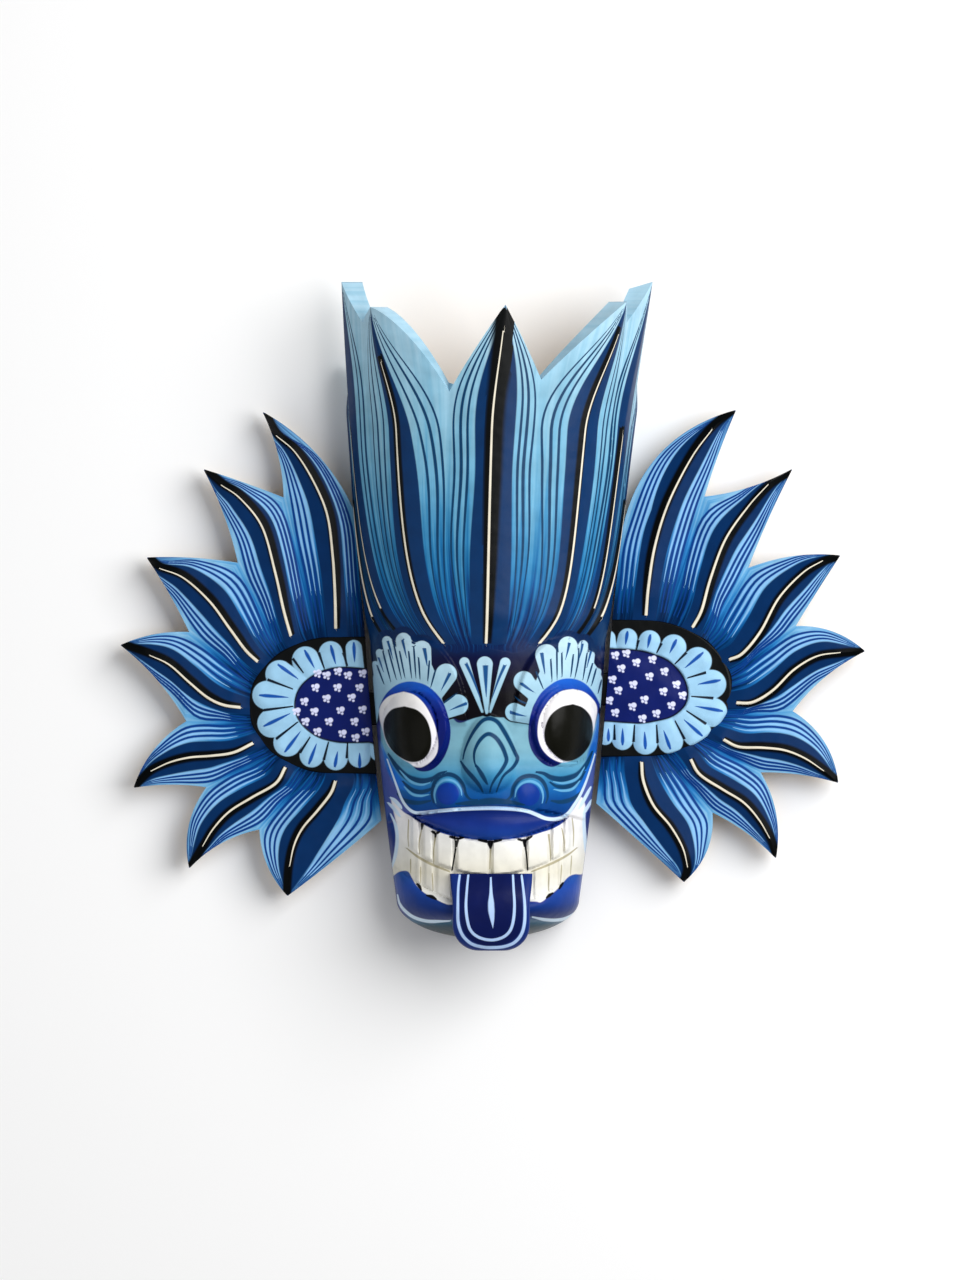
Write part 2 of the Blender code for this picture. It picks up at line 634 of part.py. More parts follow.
for old in list(bpy.data.objects):
    bpy.data.objects.remove(old)
face_node(paint("blue enamel on carved wood, face", (0.05, 0.22, 0.55), 0.3))
board_node("left_ear_flames", LEFT_BOARD, -1, paint("blue enamel on carved wood, left", (0.04, 0.24, 0.6), 0.3))
board_node("right_ear_flames", RIGHT_BOARD, 1, paint("blue enamel on carved wood, right", (0.05, 0.25, 0.6), 0.3))
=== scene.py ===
"""Sri Lankan raksha mask, dressed: the carved and enamelled fire demon's face under its crown of flames,
the hanging tongue, and the two boards of flames with a half flower at each ear.

The sizes are in millimetres and the angles in degrees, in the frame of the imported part: the mask lies on
the rim of its hollow back, face up, with the crown towards +Y.
"""

import math

import bmesh
import bpy
import numpy as np
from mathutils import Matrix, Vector


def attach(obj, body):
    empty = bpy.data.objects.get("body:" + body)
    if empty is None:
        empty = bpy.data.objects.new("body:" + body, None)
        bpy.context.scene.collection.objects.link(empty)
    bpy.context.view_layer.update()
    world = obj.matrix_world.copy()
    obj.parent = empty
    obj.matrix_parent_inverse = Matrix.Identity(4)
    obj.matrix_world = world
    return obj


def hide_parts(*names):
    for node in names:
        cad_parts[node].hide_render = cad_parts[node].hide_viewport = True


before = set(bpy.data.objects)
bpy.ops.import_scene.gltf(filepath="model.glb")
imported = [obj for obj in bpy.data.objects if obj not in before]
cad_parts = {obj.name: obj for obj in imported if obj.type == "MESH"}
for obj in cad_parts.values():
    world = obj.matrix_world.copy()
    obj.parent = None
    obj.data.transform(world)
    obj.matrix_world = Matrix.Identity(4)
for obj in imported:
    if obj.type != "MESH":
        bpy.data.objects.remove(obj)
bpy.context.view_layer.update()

# The carved log
# Face and crown are carved in one from a half log of light wood, hollowed from behind. The section is
# half an oval that widens to the crown, stands on straight flanks and rolls under at the chin.
MM = 0.001  # metres
BROW_Y = -11.0
HALF_WIDTH = 54.9
CROWN_FLARE = 0.101
JAW_TAPER = 0.060
JAW_ROUND = 0.00035
DEPTH = 42.5
CROWN_LEAN = 0.062
JAW_THINNING = 0.030
FLANK = 16.0
FLANK_GIRTH = 15.0
EDGE_GIRTH = 90.0 + FLANK_GIRTH
AXIS_X = -3.2
AXIS_DRIFT = 4.5
CROWN_HEIGHT = 165.0
CHIN_Y = -130.0
CHIN_REACH = 18.0
CHIN_ROLL = 26.0
WALL = 9.0
CROWN_WALL = 7.5
LEFT_SLIM = 1.8


def smooth(t):
    """Rises from 0 to 1 with level ends: 3t^2 - 2t^3."""
    t = np.clip(t, 0.0, 1.0)
    return t * t * (3.0 - 2.0 * t)


def log_section(y):
    """Axis, half width and depth of the log at height y: straight flares upwards, a bow in to the jaw."""
    up = np.maximum(y - BROW_Y, 0.0)
    down = np.maximum(BROW_Y - y, 0.0)
    axis = AXIS_X + AXIS_DRIFT * (up / CROWN_HEIGHT) ** 2
    half = HALF_WIDTH + CROWN_FLARE * up - JAW_TAPER * down - JAW_ROUND * down**2
    return axis, half, DEPTH + CROWN_LEAN * up - JAW_THINNING * down


def log_point(girth, climb, inset):
    """Point of the log: half times the sine of the girth across, depth times its cosine up, the left side
    a little slimmer. Past 90 degrees it drops down the flank, and below the chin's start both shrink as
    the climb rolls under."""
    roll = np.radians(np.clip((CHIN_Y - climb) / CHIN_ROLL, 0.0, 1.0) * 90.0)
    axis, half, depth = log_section(np.maximum(climb, CHIN_Y))
    turn = np.radians(np.clip(girth, -90.0, 90.0))
    flank = np.clip((np.abs(girth) - 90.0) / FLANK_GIRTH, 0.0, 1.0)
    side = half - inset - np.where(girth < 0, LEFT_SLIM, 0.0)
    x = axis + side * np.cos(roll) * np.sin(turn)
    y = np.maximum(climb, CHIN_Y) - (CHIN_REACH - inset) * np.sin(roll)
    return x, y, FLANK * (1.0 - flank) + (depth - inset) * np.cos(roll) * np.cos(turn)


# The crown of flames
# Seven flames rise from the brow, each a low ridge that falls to a web on either side. The spread of
# each ridge line, its lean and the notches between the tips are the carver's own and not quite even.
CROWN_ROOT_Y = -14.0
CROWN_FLAMES = (  # girth of the root and of the body, spread, girth and height of the tip
    (-56, -99, 42, -99, 118), (-40, -79, 28, -79, 153), (-20, -41, 22, -53, 141), (0, 1, 20, 4, 141.5),
    (25, 41, 15, 56, 143.5), (43, 67, 18, 77, 153), (52, 99, 38, 99, 118))
CROWN_NOTCHES = ((-90, 100), (-62, 134), (-17, 102), (20, 107.5), (61, 134), (90, 100))
CROWN_EDGE_Y = 92.0
CROWN_BELLY = (0, 0, 0, 0, 0, 0.17, 0, 0, 0.06, 0, 0, 0, 0, 0)
LEAN_START = 84.0
RIDGE = 2.3
OUTER_GIRTH, OUTER_FADE, OUTER_CLIMB = 84.0, 6.0, 20.0
RIDGE_REACH, RIDGE_START = 8.0, 16.0


def flame_spine(flame, climb):
    """Girth of a flame's ridge line: it nears its body by e^(-rise / spread), then leans to the tip."""
    root, body, spread, tip, tip_y = flame
    rise = np.maximum(climb - CROWN_ROOT_Y, 0.0)
    lean = smooth((climb - LEAN_START) / (tip_y - LEAN_START))
    return root + (body - root) * (1.0 - np.exp(-rise / spread)) + (tip - body) * lean


def crown_lines(climb):
    """Girths at this climb of all the lines that run up the crown, left to right: the left edge, then
    ridge and web in turn, then the right edge. A web is midway between its ridges and ends in its notch."""
    spines = [flame_spine(flame, climb) for flame in CROWN_FLAMES]
    lines = [np.full_like(climb, -EDGE_GIRTH), spines[0]]
    for (notch, notch_y), left, right in zip(CROWN_NOTCHES, spines, spines[1:]):
        middle = (left + right) / 2
        lines += [middle + (notch - middle) * smooth((climb - CROWN_ROOT_Y) / (notch_y - CROWN_ROOT_Y))]
        lines += [right]
    return np.stack(lines + [np.full_like(climb, EDGE_GIRTH)])


def between(lines, place):
    """Value at a place such as 3.25, a quarter of the way from line 3 to line 4."""
    low = np.clip(np.floor(place), 0, len(lines) - 2).astype(int)
    near = np.take_along_axis(lines, low[None], 0)[0]
    far = np.take_along_axis(lines, low[None] + 1, 0)[0]
    return near + (far - near) * (place - low)


def rise_over(number, share):
    """Height share on the edge between two marks of the crown's top, with its belly 4bt(1 - t)."""
    return share + 4 * np.array(CROWN_BELLY)[number] * share * (1 - share)


def crown_top(place):
    """Girth and climb of the crown's jagged top at each place: from notch to tip to notch."""
    marks = [(-EDGE_GIRTH, CROWN_EDGE_Y)]
    for number, flame in enumerate(CROWN_FLAMES):
        marks += [flame[3:], *CROWN_NOTCHES[number:number + 1]]
    marks = np.array(marks + [(EDGE_GIRTH, CROWN_EDGE_Y)], float)
    low = np.clip(np.floor(place), 0, len(marks) - 2).astype(int)
    share = place - low
    start, end = marks[low], marks[low + 1]
    rise = rise_over(low, np.where(end[:, 1] > start[:, 1], share, 1.0 - share))
    climb = np.minimum(start[:, 1], end[:, 1]) + np.abs(end[:, 1] - start[:, 1]) * rise
    return start[:, 0] + (end[:, 0] - start[:, 0]) * share, climb


def crown_height(girth, climb):
    """The ridges: full on each ridge line, nothing in the webs and at the outer edges, straight between.
    They fade out at the two outermost tips, which are cut to a thin edge."""
    lines = crown_lines(climb)
    lines[0], lines[-1] = -EDGE_GIRTH - RIDGE_REACH, EDGE_GIRTH + RIDGE_REACH
    heights = np.arange(len(lines)) % 2 * RIDGE
    found = np.zeros_like(girth)
    for left, right, low, high in zip(lines, lines[1:], heights, heights[1:]):
        share = (girth - left) / np.maximum(right - left, 0.5)
        found = np.where((girth >= left) & (girth <= right), low + (high - low) * share, found)
    outer = smooth((np.abs(girth) - OUTER_GIRTH) / OUTER_FADE)
    outer = outer * smooth((climb - CROWN_EDGE_Y) / OUTER_CLIMB)
    return found * smooth((climb - CROWN_ROOT_Y) / RIDGE_START) * (1.0 - outer)


# The face's carving
# Eyeballs in thick lids under two fans of brow, an onion nose between two round nostrils, a broad
# muzzle, and lips drawn back from two rows of teeth. All of it stands a few millimetres off the log.
EYE_RIMS = ((-35.3, -51.0), (33.2, -50.4))
EYE_RIM_SIZE = (16.2, 20.6)
RIM_HEIGHT = 3.6
RIM_START, RIM_BEVEL = 0.84, 0.16
EYEBALLS = ((-38.2, -51.2), (35.2, -50.4))
EYEBALL_SIZE = (13.0, 17.0)
EYEBALL_SEAT = 1.5
EYEBALL_DOME = 6.5
BROW_FAN = (24.5, 42.5)
BROW_HEIGHT = 2.4
BROW_START, BROW_BEVEL, BROW_FOOT = 0.93, 0.07, 5.0
NOSE = (-2.2, -70.0)
NOSE_HALF_WIDTH = 12.8
NOSE_RISE = 25.0
NOSE_DROP = 11.5
NOSE_HEIGHT = 9.0
NOSE_FULLNESS, NOSE_ON_FORMS = 0.75, 0.4
NOSTRILS = ((-20.6, -81.0), (16.2, -81.4))
NOSTRIL_SIZE = (8.6, 8.6)
NOSTRIL_HEIGHT = 5.0
MUZZLE_TOP = -64.0
MUZZLE_HEIGHT = 2.4
MUZZLE_SLOPE, MUZZLE_LIP = 6.0, 1.5
MOUTH_X = -1.0
LIP_TOP = (-87.5, -0.0035)
LIP_UNDER = (-102.0, 0.0085)
BITE = (-118.5, 0.0085)
GUM = (-132.5, 0.0092)
LOWER_LIP_UNDER = (-139.5, 0.0)
LIP_HEIGHT, LEAST_LIP = 5.2, 0.5
LOWER_LIP_HEIGHT = 4.6
UPPER_TOOTH_HEIGHT = 2.6
LOWER_TOOTH_HEIGHT = 1.2
UPPER_TEETH = (-38.0, -32.7, -26.7, -17.4, -1.1, 14.8, 26.1, 31.7, 36.0)
LOWER_TEETH = (-36.0, -32.0, -26.4, -18.0, -6.0, 6.0, 17.8, 24.4, 29.0, 33.5)
TOOTH_GAP = 0.7
TOOTH_EDGE = 1.3
FORMS_TOP, FORMS_START, FLANK_TURN = 4.0, 3.0, 0.25
THINNING = 60.0


def bow(curve, x):
    """Height at x of one of the mouth's edges: its height at the middle and a square of the distance."""
    return curve[0] + curve[1] * (x - MOUTH_X) ** 2


def oval(x, y, centre, size):
    """0 at the centre of an oval, 1 on its edge."""
    return np.hypot((x - centre[0]) / size[0], (y - centre[1]) / size[1])


def dome(ring):
    """A half ball's height over its share of the way out."""
    return np.sqrt(np.clip(1.0 - ring**2, 0.0, 1.0))


def teeth(x, y, edges, top, under, height):
    """A row of teeth between two bows, each rounded off at its edges over a narrow gap."""
    row = smooth((top - y) / TOOTH_EDGE) * smooth((y - under) / TOOTH_EDGE)
    block = np.zeros_like(x)
    for left, right in zip(edges, edges[1:]):
        away = (right - left - TOOTH_GAP) / 2 - np.abs(x - (left + right) / 2)
        block = np.maximum(block, smooth(away / TOOTH_EDGE))
    return height * row * block


def face_relief(x, y):
    """How far the carving stands off the log at (x, y): the highest of its forms wins."""
    height = MUZZLE_HEIGHT * smooth((MUZZLE_TOP - y) / MUZZLE_SLOPE)
    height = height * smooth((y - bow(LIP_TOP, x)) / MUZZLE_LIP)
    for rim in EYE_RIMS:
        fan = 1.0 - smooth((oval(x, y, rim, BROW_FAN) - BROW_START) / BROW_BEVEL)
        height = np.maximum(height, BROW_HEIGHT * fan * smooth((y - rim[1]) / BROW_FOOT))
    for rim, ball in zip(EYE_RIMS, EYEBALLS):
        lid = 1.0 - smooth((oval(x, y, rim, EYE_RIM_SIZE) - RIM_START) / RIM_BEVEL)
        height = np.maximum(height, RIM_HEIGHT * lid)
        ring = oval(x, y, ball, EYEBALL_SIZE)
        height = np.where(ring < 1.0, EYEBALL_SEAT + EYEBALL_DOME * dome(ring), height)
    reach = np.where(y > NOSE[1], NOSE_RISE, NOSE_DROP)
    ring = np.hypot((x - NOSE[0]) / NOSE_HALF_WIDTH, (y - NOSE[1]) / reach)
    ridge = NOSE_HEIGHT * np.clip(1.0 - ring**2, 0.0, 1.0) ** NOSE_FULLNESS
    height = np.maximum(height, ridge + height * NOSE_ON_FORMS * (ring < 1.0))
    for nostril in NOSTRILS:
        height = np.maximum(height, NOSTRIL_HEIGHT * dome(oval(x, y, nostril, NOSTRIL_SIZE)))
    top, under = bow(LIP_TOP, x), bow(LIP_UNDER, x)
    lip = dome((2 * y - top - under) / np.maximum(top - under, LEAST_LIP)) * (top > under + LEAST_LIP)
    bite, gum, low = bow(BITE, x), bow(GUM, x), bow(LOWER_LIP_UNDER, x)
    height = np.maximum(height, LIP_HEIGHT * lip)
    height = np.maximum(height, teeth(x, y, UPPER_TEETH, under, bite, UPPER_TOOTH_HEIGHT))
    height = np.maximum(height, teeth(x, y, LOWER_TEETH, bite, gum, LOWER_TOOTH_HEIGHT))
    return np.maximum(height, LOWER_LIP_HEIGHT * dome((2 * y - gum - low) / (gum - low)))


def carved(girth, climb):
    """Point of the carved front: ridges stand off along the log's normal, the face's forms straight up.
    The forms start a little below the crown's root and fade where the log turns down its flanks."""
    x, y, z = log_point(girth, climb, 0.0)
    turn = np.radians(np.clip(girth, -90.0, 90.0))
    ridge, front = crown_height(girth, climb), np.cos(turn)
    step = face_relief(x, y) * smooth((CROWN_ROOT_Y + FORMS_TOP - climb) / FORMS_START)
    step = step * smooth(front / FLANK_TURN)
    return np.stack([x + ridge * np.sin(turn), y, z + ridge * front + step], axis=-1)


def hollowed(girth, climb):
    """Point of the hollow back, a wall's thickness inside the log."""
    wall = WALL + (CROWN_WALL - WALL) * smooth((climb - BROW_Y) / THINNING)
    return np.stack(log_point(girth, climb, wall), axis=-1)


# The mask's mesh
# Columns follow the ridges and webs up the crown and spread evenly down the face; rows follow the
# climb. The hollow repeats every fourth column and fifth row, and a rim joins the two sheets.
COLUMN_STEP = 0.76
SAMPLE_CLIMB = 60.0
CROWN_ROWS = 105
FACE_ROWS = 200
EVEN_BELOW = 22.0
SKIP = (5, 4)


def sheet(rows, columns, first=0):
    """Quads of a grid of points whose rows follow each other."""
    corner = first + np.arange(rows - 1)[:, None] * columns + np.arange(columns - 1)[None]
    return np.stack([corner, corner + 1, corner + columns + 1, corner + columns], axis=-1).reshape(-1, 4)


def new_piece(name, points, faces, fields, finishes=None):
    """An object of points in millimetres, with a value of each field at every point and the number of each
    face's material. Doubles are merged."""
    data = bpy.data.meshes.new(name)
    data.from_pydata(points * MM, [], faces)
    if finishes is not None:
        data.polygons.foreach_set("material_index", finishes)
    for field, values in fields.items():
        layer = data.attributes.new(field, "FLOAT", "POINT")
        layer.data.foreach_set("value", np.ascontiguousarray(values, np.float32))
    mesh = bmesh.new()
    mesh.from_mesh(data)
    bmesh.ops.remove_doubles(mesh, verts=mesh.verts, dist=0.004 * MM)
    bmesh.ops.recalc_face_normals(mesh, faces=mesh.faces)
    mesh.to_mesh(data)
    mesh.free()
    data.shade_smooth()
    data.set_sharp_from_angle(angle=math.radians(42.0))
    piece = bpy.data.objects.new(name, data)
    bpy.context.scene.collection.objects.link(piece)
    return piece


def crown_columns():
    """Places of the columns, from 0 at the left edge to 14 at the right: each whole number is one."""
    lines = crown_lines(np.array([SAMPLE_CLIMB]))[:, 0]
    counts = np.maximum(np.round(np.diff(lines) / COLUMN_STEP / 2) * 2, 6).astype(int)
    counts[-1] += (-counts.sum()) % SKIP[1]
    starts = [k + np.arange(count) / count for k, count in enumerate(counts)]
    return np.append(np.concatenate(starts), float(len(counts)))


place = crown_columns()
top_girth, top_climb = crown_top(place)
part = np.linspace(1.0, 0.0, CROWN_ROWS)[:, None]
climb = CROWN_ROOT_Y + (top_climb - CROWN_ROOT_Y) * part
places = np.broadcast_to(place, climb.shape)
girth = between(crown_lines(climb), places)
girth = girth + (top_girth - girth[:1]) * part**3
root_girth, even = girth[-1], np.linspace(-EDGE_GIRTH, EDGE_GIRTH, len(place))
low_climb = np.linspace(CROWN_ROOT_Y, CHIN_Y - CHIN_ROLL, FACE_ROWS)[1:, None]
blend = smooth((CROWN_ROOT_Y - low_climb) / EVEN_BELOW)
girth = np.concatenate([girth, root_girth + (even - root_girth) * blend])
climb = np.concatenate([climb, np.broadcast_to(low_climb, (FACE_ROWS - 1, len(place)))])
places = np.concatenate([places, np.broadcast_to(place, (FACE_ROWS - 1, len(place)))])
rows, columns = climb.shape
row_picks = np.unique(np.append(np.arange(0, rows, SKIP[0]), rows - 1))
column_picks = np.arange(0, columns, SKIP[1])
inner_rows, inner_columns = len(row_picks), len(column_picks)
inner = np.ix_(row_picks, column_picks)
front, back = carved(girth, climb).reshape(-1, 3), hollowed(girth[inner], climb[inner]).reshape(-1, 3)
fine = np.arange(rows * columns).reshape(rows, columns)
coarse = rows * columns + np.arange(inner_rows * inner_columns).reshape(inner_rows, inner_columns)


def rim(edge, marks, picks):
    """Triangles from each short step of the front's edge to the hollow's next mark, and one for its step."""
    near = np.searchsorted(picks, np.arange(len(edge) - 1), side="right") - 1
    fans = np.stack([edge[:-1], edge[1:], marks[near]], axis=1)
    steps = np.stack([edge[picks[1:]], marks[1:], marks[:-1]], axis=1)
    return np.concatenate([fans, steps])


skin = sheet(rows, columns)
hollow = sheet(inner_rows, inner_columns, rows * columns)[:, ::-1]
top_rim = rim(fine[0], coarse[0], column_picks)
side_rims = np.concatenate([rim(fine[:, k], coarse[:, k], row_picks) for k in (0, -1)])
mask_points = np.concatenate([front, back])
every = [np.concatenate([field.ravel(), field[inner].ravel()]) for field in (girth, climb, places)]
bare = np.repeat([0, 1], [len(skin) + len(top_rim), len(hollow) + len(side_rims)])
mask = new_piece("carved_mask", mask_points,
                 skin.tolist() + top_rim.tolist() + hollow.tolist() + side_rims.tolist(),
                 dict(zip(("girth", "climb", "place"), every)), bare)
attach(mask, "root")
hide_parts("face")

# The painter's brushwork on the crown
# Each flame is painted from its ridge outwards: a cream line with a black stripe at its side, a navy
# band, and a few dark hair lines over a pale ground that deepens to blue at the root.
LINE_PITCH = 60.0
OFF_LINE = 9.0
BRUSH_REACH = 2.5
BLACK_SHIFTS = (-0.5, -0.5, 0.1, 0.22, -0.5, -0.5, -0.5)
FLAME_STATIONS = (0.0, 0.25, 0.5, 0.75, 1.0)


def brush(points, widths):
    """A stroke of the brush: points along it and its half width at each, from a few widths along it."""
    points = np.asarray(points, float)
    run = np.append(0.0, np.cumsum(np.hypot(*np.diff(points, axis=0).T)))
    return points, np.interp(run / run[-1], np.linspace(0, 1, len(widths)), widths)


def curve(points, count=24):
    """A smooth line through the points: cubic pieces whose slope at a point is that of its neighbours."""
    points = np.asarray(points, float)
    ahead = np.vstack([points[:1] * 2 - points[1:2], points, points[-1:] * 2 - points[-2:-1]])
    place = np.linspace(0, len(points) - 1.000001, count)
    low = place.astype(int)
    t = (place - low)[:, None]
    p0, p1, p2, p3 = (ahead[low + k] for k in range(4))
    return p1 + 0.5 * t * (p2 - p0 + t * (2 * p0 - 5 * p1 + 4 * p2 - p3 + t * (3 * (p1 - p2) + p3 - p0)))


def nearest(spots, path, half):
    """Signed distance from each spot to the path, half width there, and whether the spot is past an end."""
    start, along = path[:-1], np.diff(path, axis=0)
    length = np.maximum(np.hypot(*along.T), 1e-9)
    offset = spots[:, None] - start
    run = (offset * along).sum(axis=2) / length**2
    share = np.clip(run, 0.0, 1.0)
    gap = offset - share[..., None] * along
    distance = np.hypot(gap[..., 0], gap[..., 1])
    pick = distance.argmin(axis=1)
    row = np.arange(len(spots))
    side = np.sign(along[pick, 0] * offset[row, pick, 1] - along[pick, 1] * offset[row, pick, 0])
    past = ((pick == 0) & (run[:, 0] < 0)) | ((pick == len(start) - 1) & (run[:, -1] > 1))
    width = half[pick] + (half[pick + 1] - half[pick]) * share[row, pick]
    return distance[row, pick] * np.where(side == 0, 1, side), width, past


def draw_lines(data, name, spots, strokes):
    """Stores, at each corner of each quad, the distance across its nearest stroke as a share of the
    stroke's half width, so that the line shows where the value is between -1 and 1."""
    loops = np.empty(len(data.loops), int)
    data.loops.foreach_get("vertex_index", loops)
    sizes = np.empty(len(data.polygons), int)
    data.polygons.foreach_get("loop_total", sizes)
    finish = np.empty(len(sizes), int)
    data.polygons.foreach_get("material_index", finish)
    owner = np.repeat(np.arange(len(sizes)), sizes)
    corners = spots[loops]
    middle = np.stack([np.bincount(owner, corners[:, k]) / sizes for k in (0, 1)], axis=1)
    best = np.full(len(sizes), OFF_LINE)
    found = np.full(len(loops), OFF_LINE)
    for path, half in strokes:
        low, high = path.min(axis=0) - BRUSH_REACH, path.max(axis=0) + BRUSH_REACH
        close = np.flatnonzero(((middle > low) & (middle < high)).all(axis=1) & (finish == 0))
        if not len(close):
            continue
        across, width, _ = nearest(middle[close], path, half)
        ratio = np.abs(across) / np.maximum(width, 0.05)
        won = close[ratio < best[close]]
        best[close] = np.minimum(best[close], ratio)
        marked = np.isin(owner, won)
        across, width, past = nearest(corners[marked], path, half)
        inner = np.bincount(owner[marked], ~past, len(sizes))[owner[marked]] > 0
        value = np.where(past, np.sign(across) * OFF_LINE, across / np.maximum(width, 0.05))
        found[marked] = np.where(inner, np.clip(value, -OFF_LINE, OFF_LINE), OFF_LINE)
    layer = data.attributes.new(name, "FLOAT", "CORNER")
    layer.data.foreach_set("value", found.astype(np.float32))


def store(data, name, values):
    """Stores a value at every point of the mesh."""
    layer = data.attributes.new(name, "FLOAT", "POINT")
    layer.data.foreach_set("value", np.ascontiguousarray(values, np.float32))


def recall(data, name):
    """Reads a value back at every point of the mesh."""
    values = np.empty(len(data.vertices), np.float32)
    data.attributes[name].data.foreach_get("value", values)
    return values.astype(float)


def flame_edge(number, side, climb):
    """Girth of the flame's left or right limit at this climb: its web, and above the notch the outline."""
    place = 2 * number + 1 + side
    web = between(crown_lines(climb), np.full(climb.shape, float(place)))
    share = np.linspace(0, 1, 40)
    edge_girth, edge_climb = crown_top(2 * number + 1 + side * (1 - share))
    return np.where(climb > edge_climb[0], np.interp(climb, edge_climb, edge_girth), web)


# Shares of the way from ridge to web, at five stations from root to tip: the navy band's edge and lines
PLAIN_FLAME = ((0.6, 0.5, 0.42, 0.42, 0.6), (0.8, 0.66, 0.6, 0.6, 0.9), (0.95, 0.85, 0.8, 0.78, 0.97))
CROWN_BANDS = {
    (2, -1): ((0.45, 0.35, 0.24, 0.22, 0.3), (0.62, 0.5, 0.42, 0.36, 0.5), (0.8, 0.7, 0.62, 0.6, 0.8),
        (0.93, 0.87, 0.82, 0.8, 0.95)),
    (2, 1): ((0.6, 0.45, 0.42, 0.18, 0.02), (0.76, 0.6, 0.62, 0.3, 0.1), (0.86, 0.76, 0.8, 0.48, 0.26),
        (0.95, 0.9, 0.93, 0.64, 0.42)),
    (3, -1): ((0.7, 0.45, 0.35, 0.33, 1.1), (0.82, 0.6, 0.52, 0.5, 1.1), (0.9, 0.76, 0.67, 0.67, 1.1),
        (0.96, 0.9, 0.83, 0.85, 1.1)),
    (3, 1): ((0.75, 0.52, 0.47, 0.43, 1.1), (0.85, 0.64, 0.58, 0.56, 1.1), (0.91, 0.78, 0.71, 0.7, 1.1),
        (0.97, 0.92, 0.86, 0.86, 1.1)),
    (4, -1): ((0.5, 0.34, 0.38, 0.27, 0.7), (0.62, 0.46, 0.54, 0.39, 0.8), (0.74, 0.59, 0.7, 0.52, 0.88),
        (0.88, 0.74, 0.87, 0.68, 0.95)),
    (4, 1): ((0.5, 0.48, 0.51, 0.4, 0.35), (0.75, 0.72, 0.72, 0.62, 0.6), (0.95, 0.9, 0.88, 0.82, 0.85)),
}
HAIR_WIDTHS = ((0.15, 0.5, 0.65, 0.5, 0.15), (0.15, 0.6, 0.8, 0.6, 0.15), (0.1, 0.45, 0.6, 0.4, 0.1))
CREAM_WIDTH = (0.65, 0.56, 0.47, 0.38, 0.18)
CREAM_SPANS = {
    0: (0.09, 0.5),
    1: (0.09, 0.6),
    2: (0, 0.85),
    3: (0, 0.95),
    4: (0, 0.93),
    5: (0.09, 0.6),
    6: (0.09, 0.5),
}
BLACK_WIDTH = (1.3, 1.9, 2.1, 2.0, 1.3)
BLACK_CENTRE = (2.2, 3.4, 4.1, 4.1, 6.0)
RIDGE_POINTS, LEAST_SIDE, NOT_BANDED, FARTHEST = 44, 0.2, -5.0, 1.2


def band_share(bands, rise):
    """One of a flame's painted edges at this share of its height."""
    return np.interp(rise, FLAME_STATIONS, bands)


def swept(values, rise, at):
    """Values of a line of points at the five stations, joined by a smooth curve and read at each height."""
    picks = np.clip(np.searchsorted(rise, FLAME_STATIONS), 0, len(rise) - 1)
    knots = curve(np.column_stack([FLAME_STATIONS, values[picks]]), 80)
    return np.stack([np.interp(at, knots[:, 0], column) for column in knots.T[1:]], axis=-1)


def flame_strokes(number, ridge, edges, bands):
    """The strokes of one flame over points of its ridge and its two edges, root to tip: the cream line,
    the black stripe at its dark side, and the hair lines at their shares of the way to each edge."""
    rise = np.linspace(0, 1, len(ridge))
    aside = edges[1] - ridge
    aside = aside / np.maximum(np.hypot(*aside.T), 0.5)[:, None]
    middle = number == len(CROWN_FLAMES) // 2
    black_half = np.interp(rise, FLAME_STATIONS, BLACK_CENTRE if middle else BLACK_WIDTH)
    shifted = ridge + aside * (black_half * BLACK_SHIFTS[number])[:, None]
    first, last = np.searchsorted(rise, CREAM_SPANS[number])
    inner, black = slice(first, last), slice(0, len(ridge) if middle else last + 1)
    hairs = []
    for side, edge in edges.items():
        for shares, widths in zip(bands[side][1:], HAIR_WIDTHS):
            line = ridge + swept((edge - ridge) * band_share(shares, rise)[:, None], rise, rise)
            hairs.append(brush(line[1:-1], widths))
    return brush(ridge[inner], CREAM_WIDTH), (shifted[black], black_half[black]), hairs


mask_data = mask.data
girth, climb, place = (recall(mask_data, name) for name in ("girth", "climb", "place"))
number = np.clip(place // 2, 0, len(CROWN_FLAMES) - 1).astype(int)
rise, band, spread = np.zeros_like(girth), np.full_like(girth, NOT_BANDED), np.zeros_like(girth)
creams, blacks, hairs = [], [], []
for k, flame in enumerate(CROWN_FLAMES):
    mine = (number == k) & (climb > CROWN_ROOT_Y)
    rise[mine] = (climb[mine] - CROWN_ROOT_Y) / (flame[4] - CROWN_ROOT_Y)
    ridge = flame_spine(flame, climb[mine])
    heights = np.linspace(CROWN_ROOT_Y + 1.0, flame[4], RIDGE_POINTS)
    line = np.stack([np.radians(flame_spine(flame, heights)) * LINE_PITCH, heights], axis=1)
    edges, bands = {}, {}
    for side in (-1, 1):
        bands[side] = CROWN_BANDS.get((k, side), PLAIN_FLAME)
        edges[side] = np.stack([np.radians(flame_edge(k, side, heights)) * LINE_PITCH, heights], axis=1)
        edge = flame_edge(k, side, climb[mine])
        apart = np.where(np.abs(edge - ridge) < LEAST_SIDE, side * LEAST_SIDE, edge - ridge)
        share = (girth[mine] - ridge) / apart
        here = share >= 0
        reach = np.radians(np.abs(edge - ridge)) * LINE_PITCH
        chosen = np.flatnonzero(mine)[here]
        spread[chosen] = share[here]
        ridge_line, edge_line = flame_spine(flame, heights), flame_edge(k, side, heights)
        levels = np.linspace(0, 1, len(heights))
        wide = np.radians(np.abs(edge_line - ridge_line)) * LINE_PITCH * band_share(bands[side][0], levels)
        band[chosen] = (swept(wide[:, None], levels, rise[mine])[:, 0] - share * reach)[here]
    cream, black, lines = flame_strokes(k, line, edges, bands)
    creams.append(cream)
    blacks.append(black)
    hairs += lines
store(mask_data, "rise", rise)
store(mask_data, "spread", np.clip(spread, 0, FARTHEST))
store(mask_data, "band", band)
over = np.stack([np.radians(girth) * LINE_PITCH, climb], axis=1)
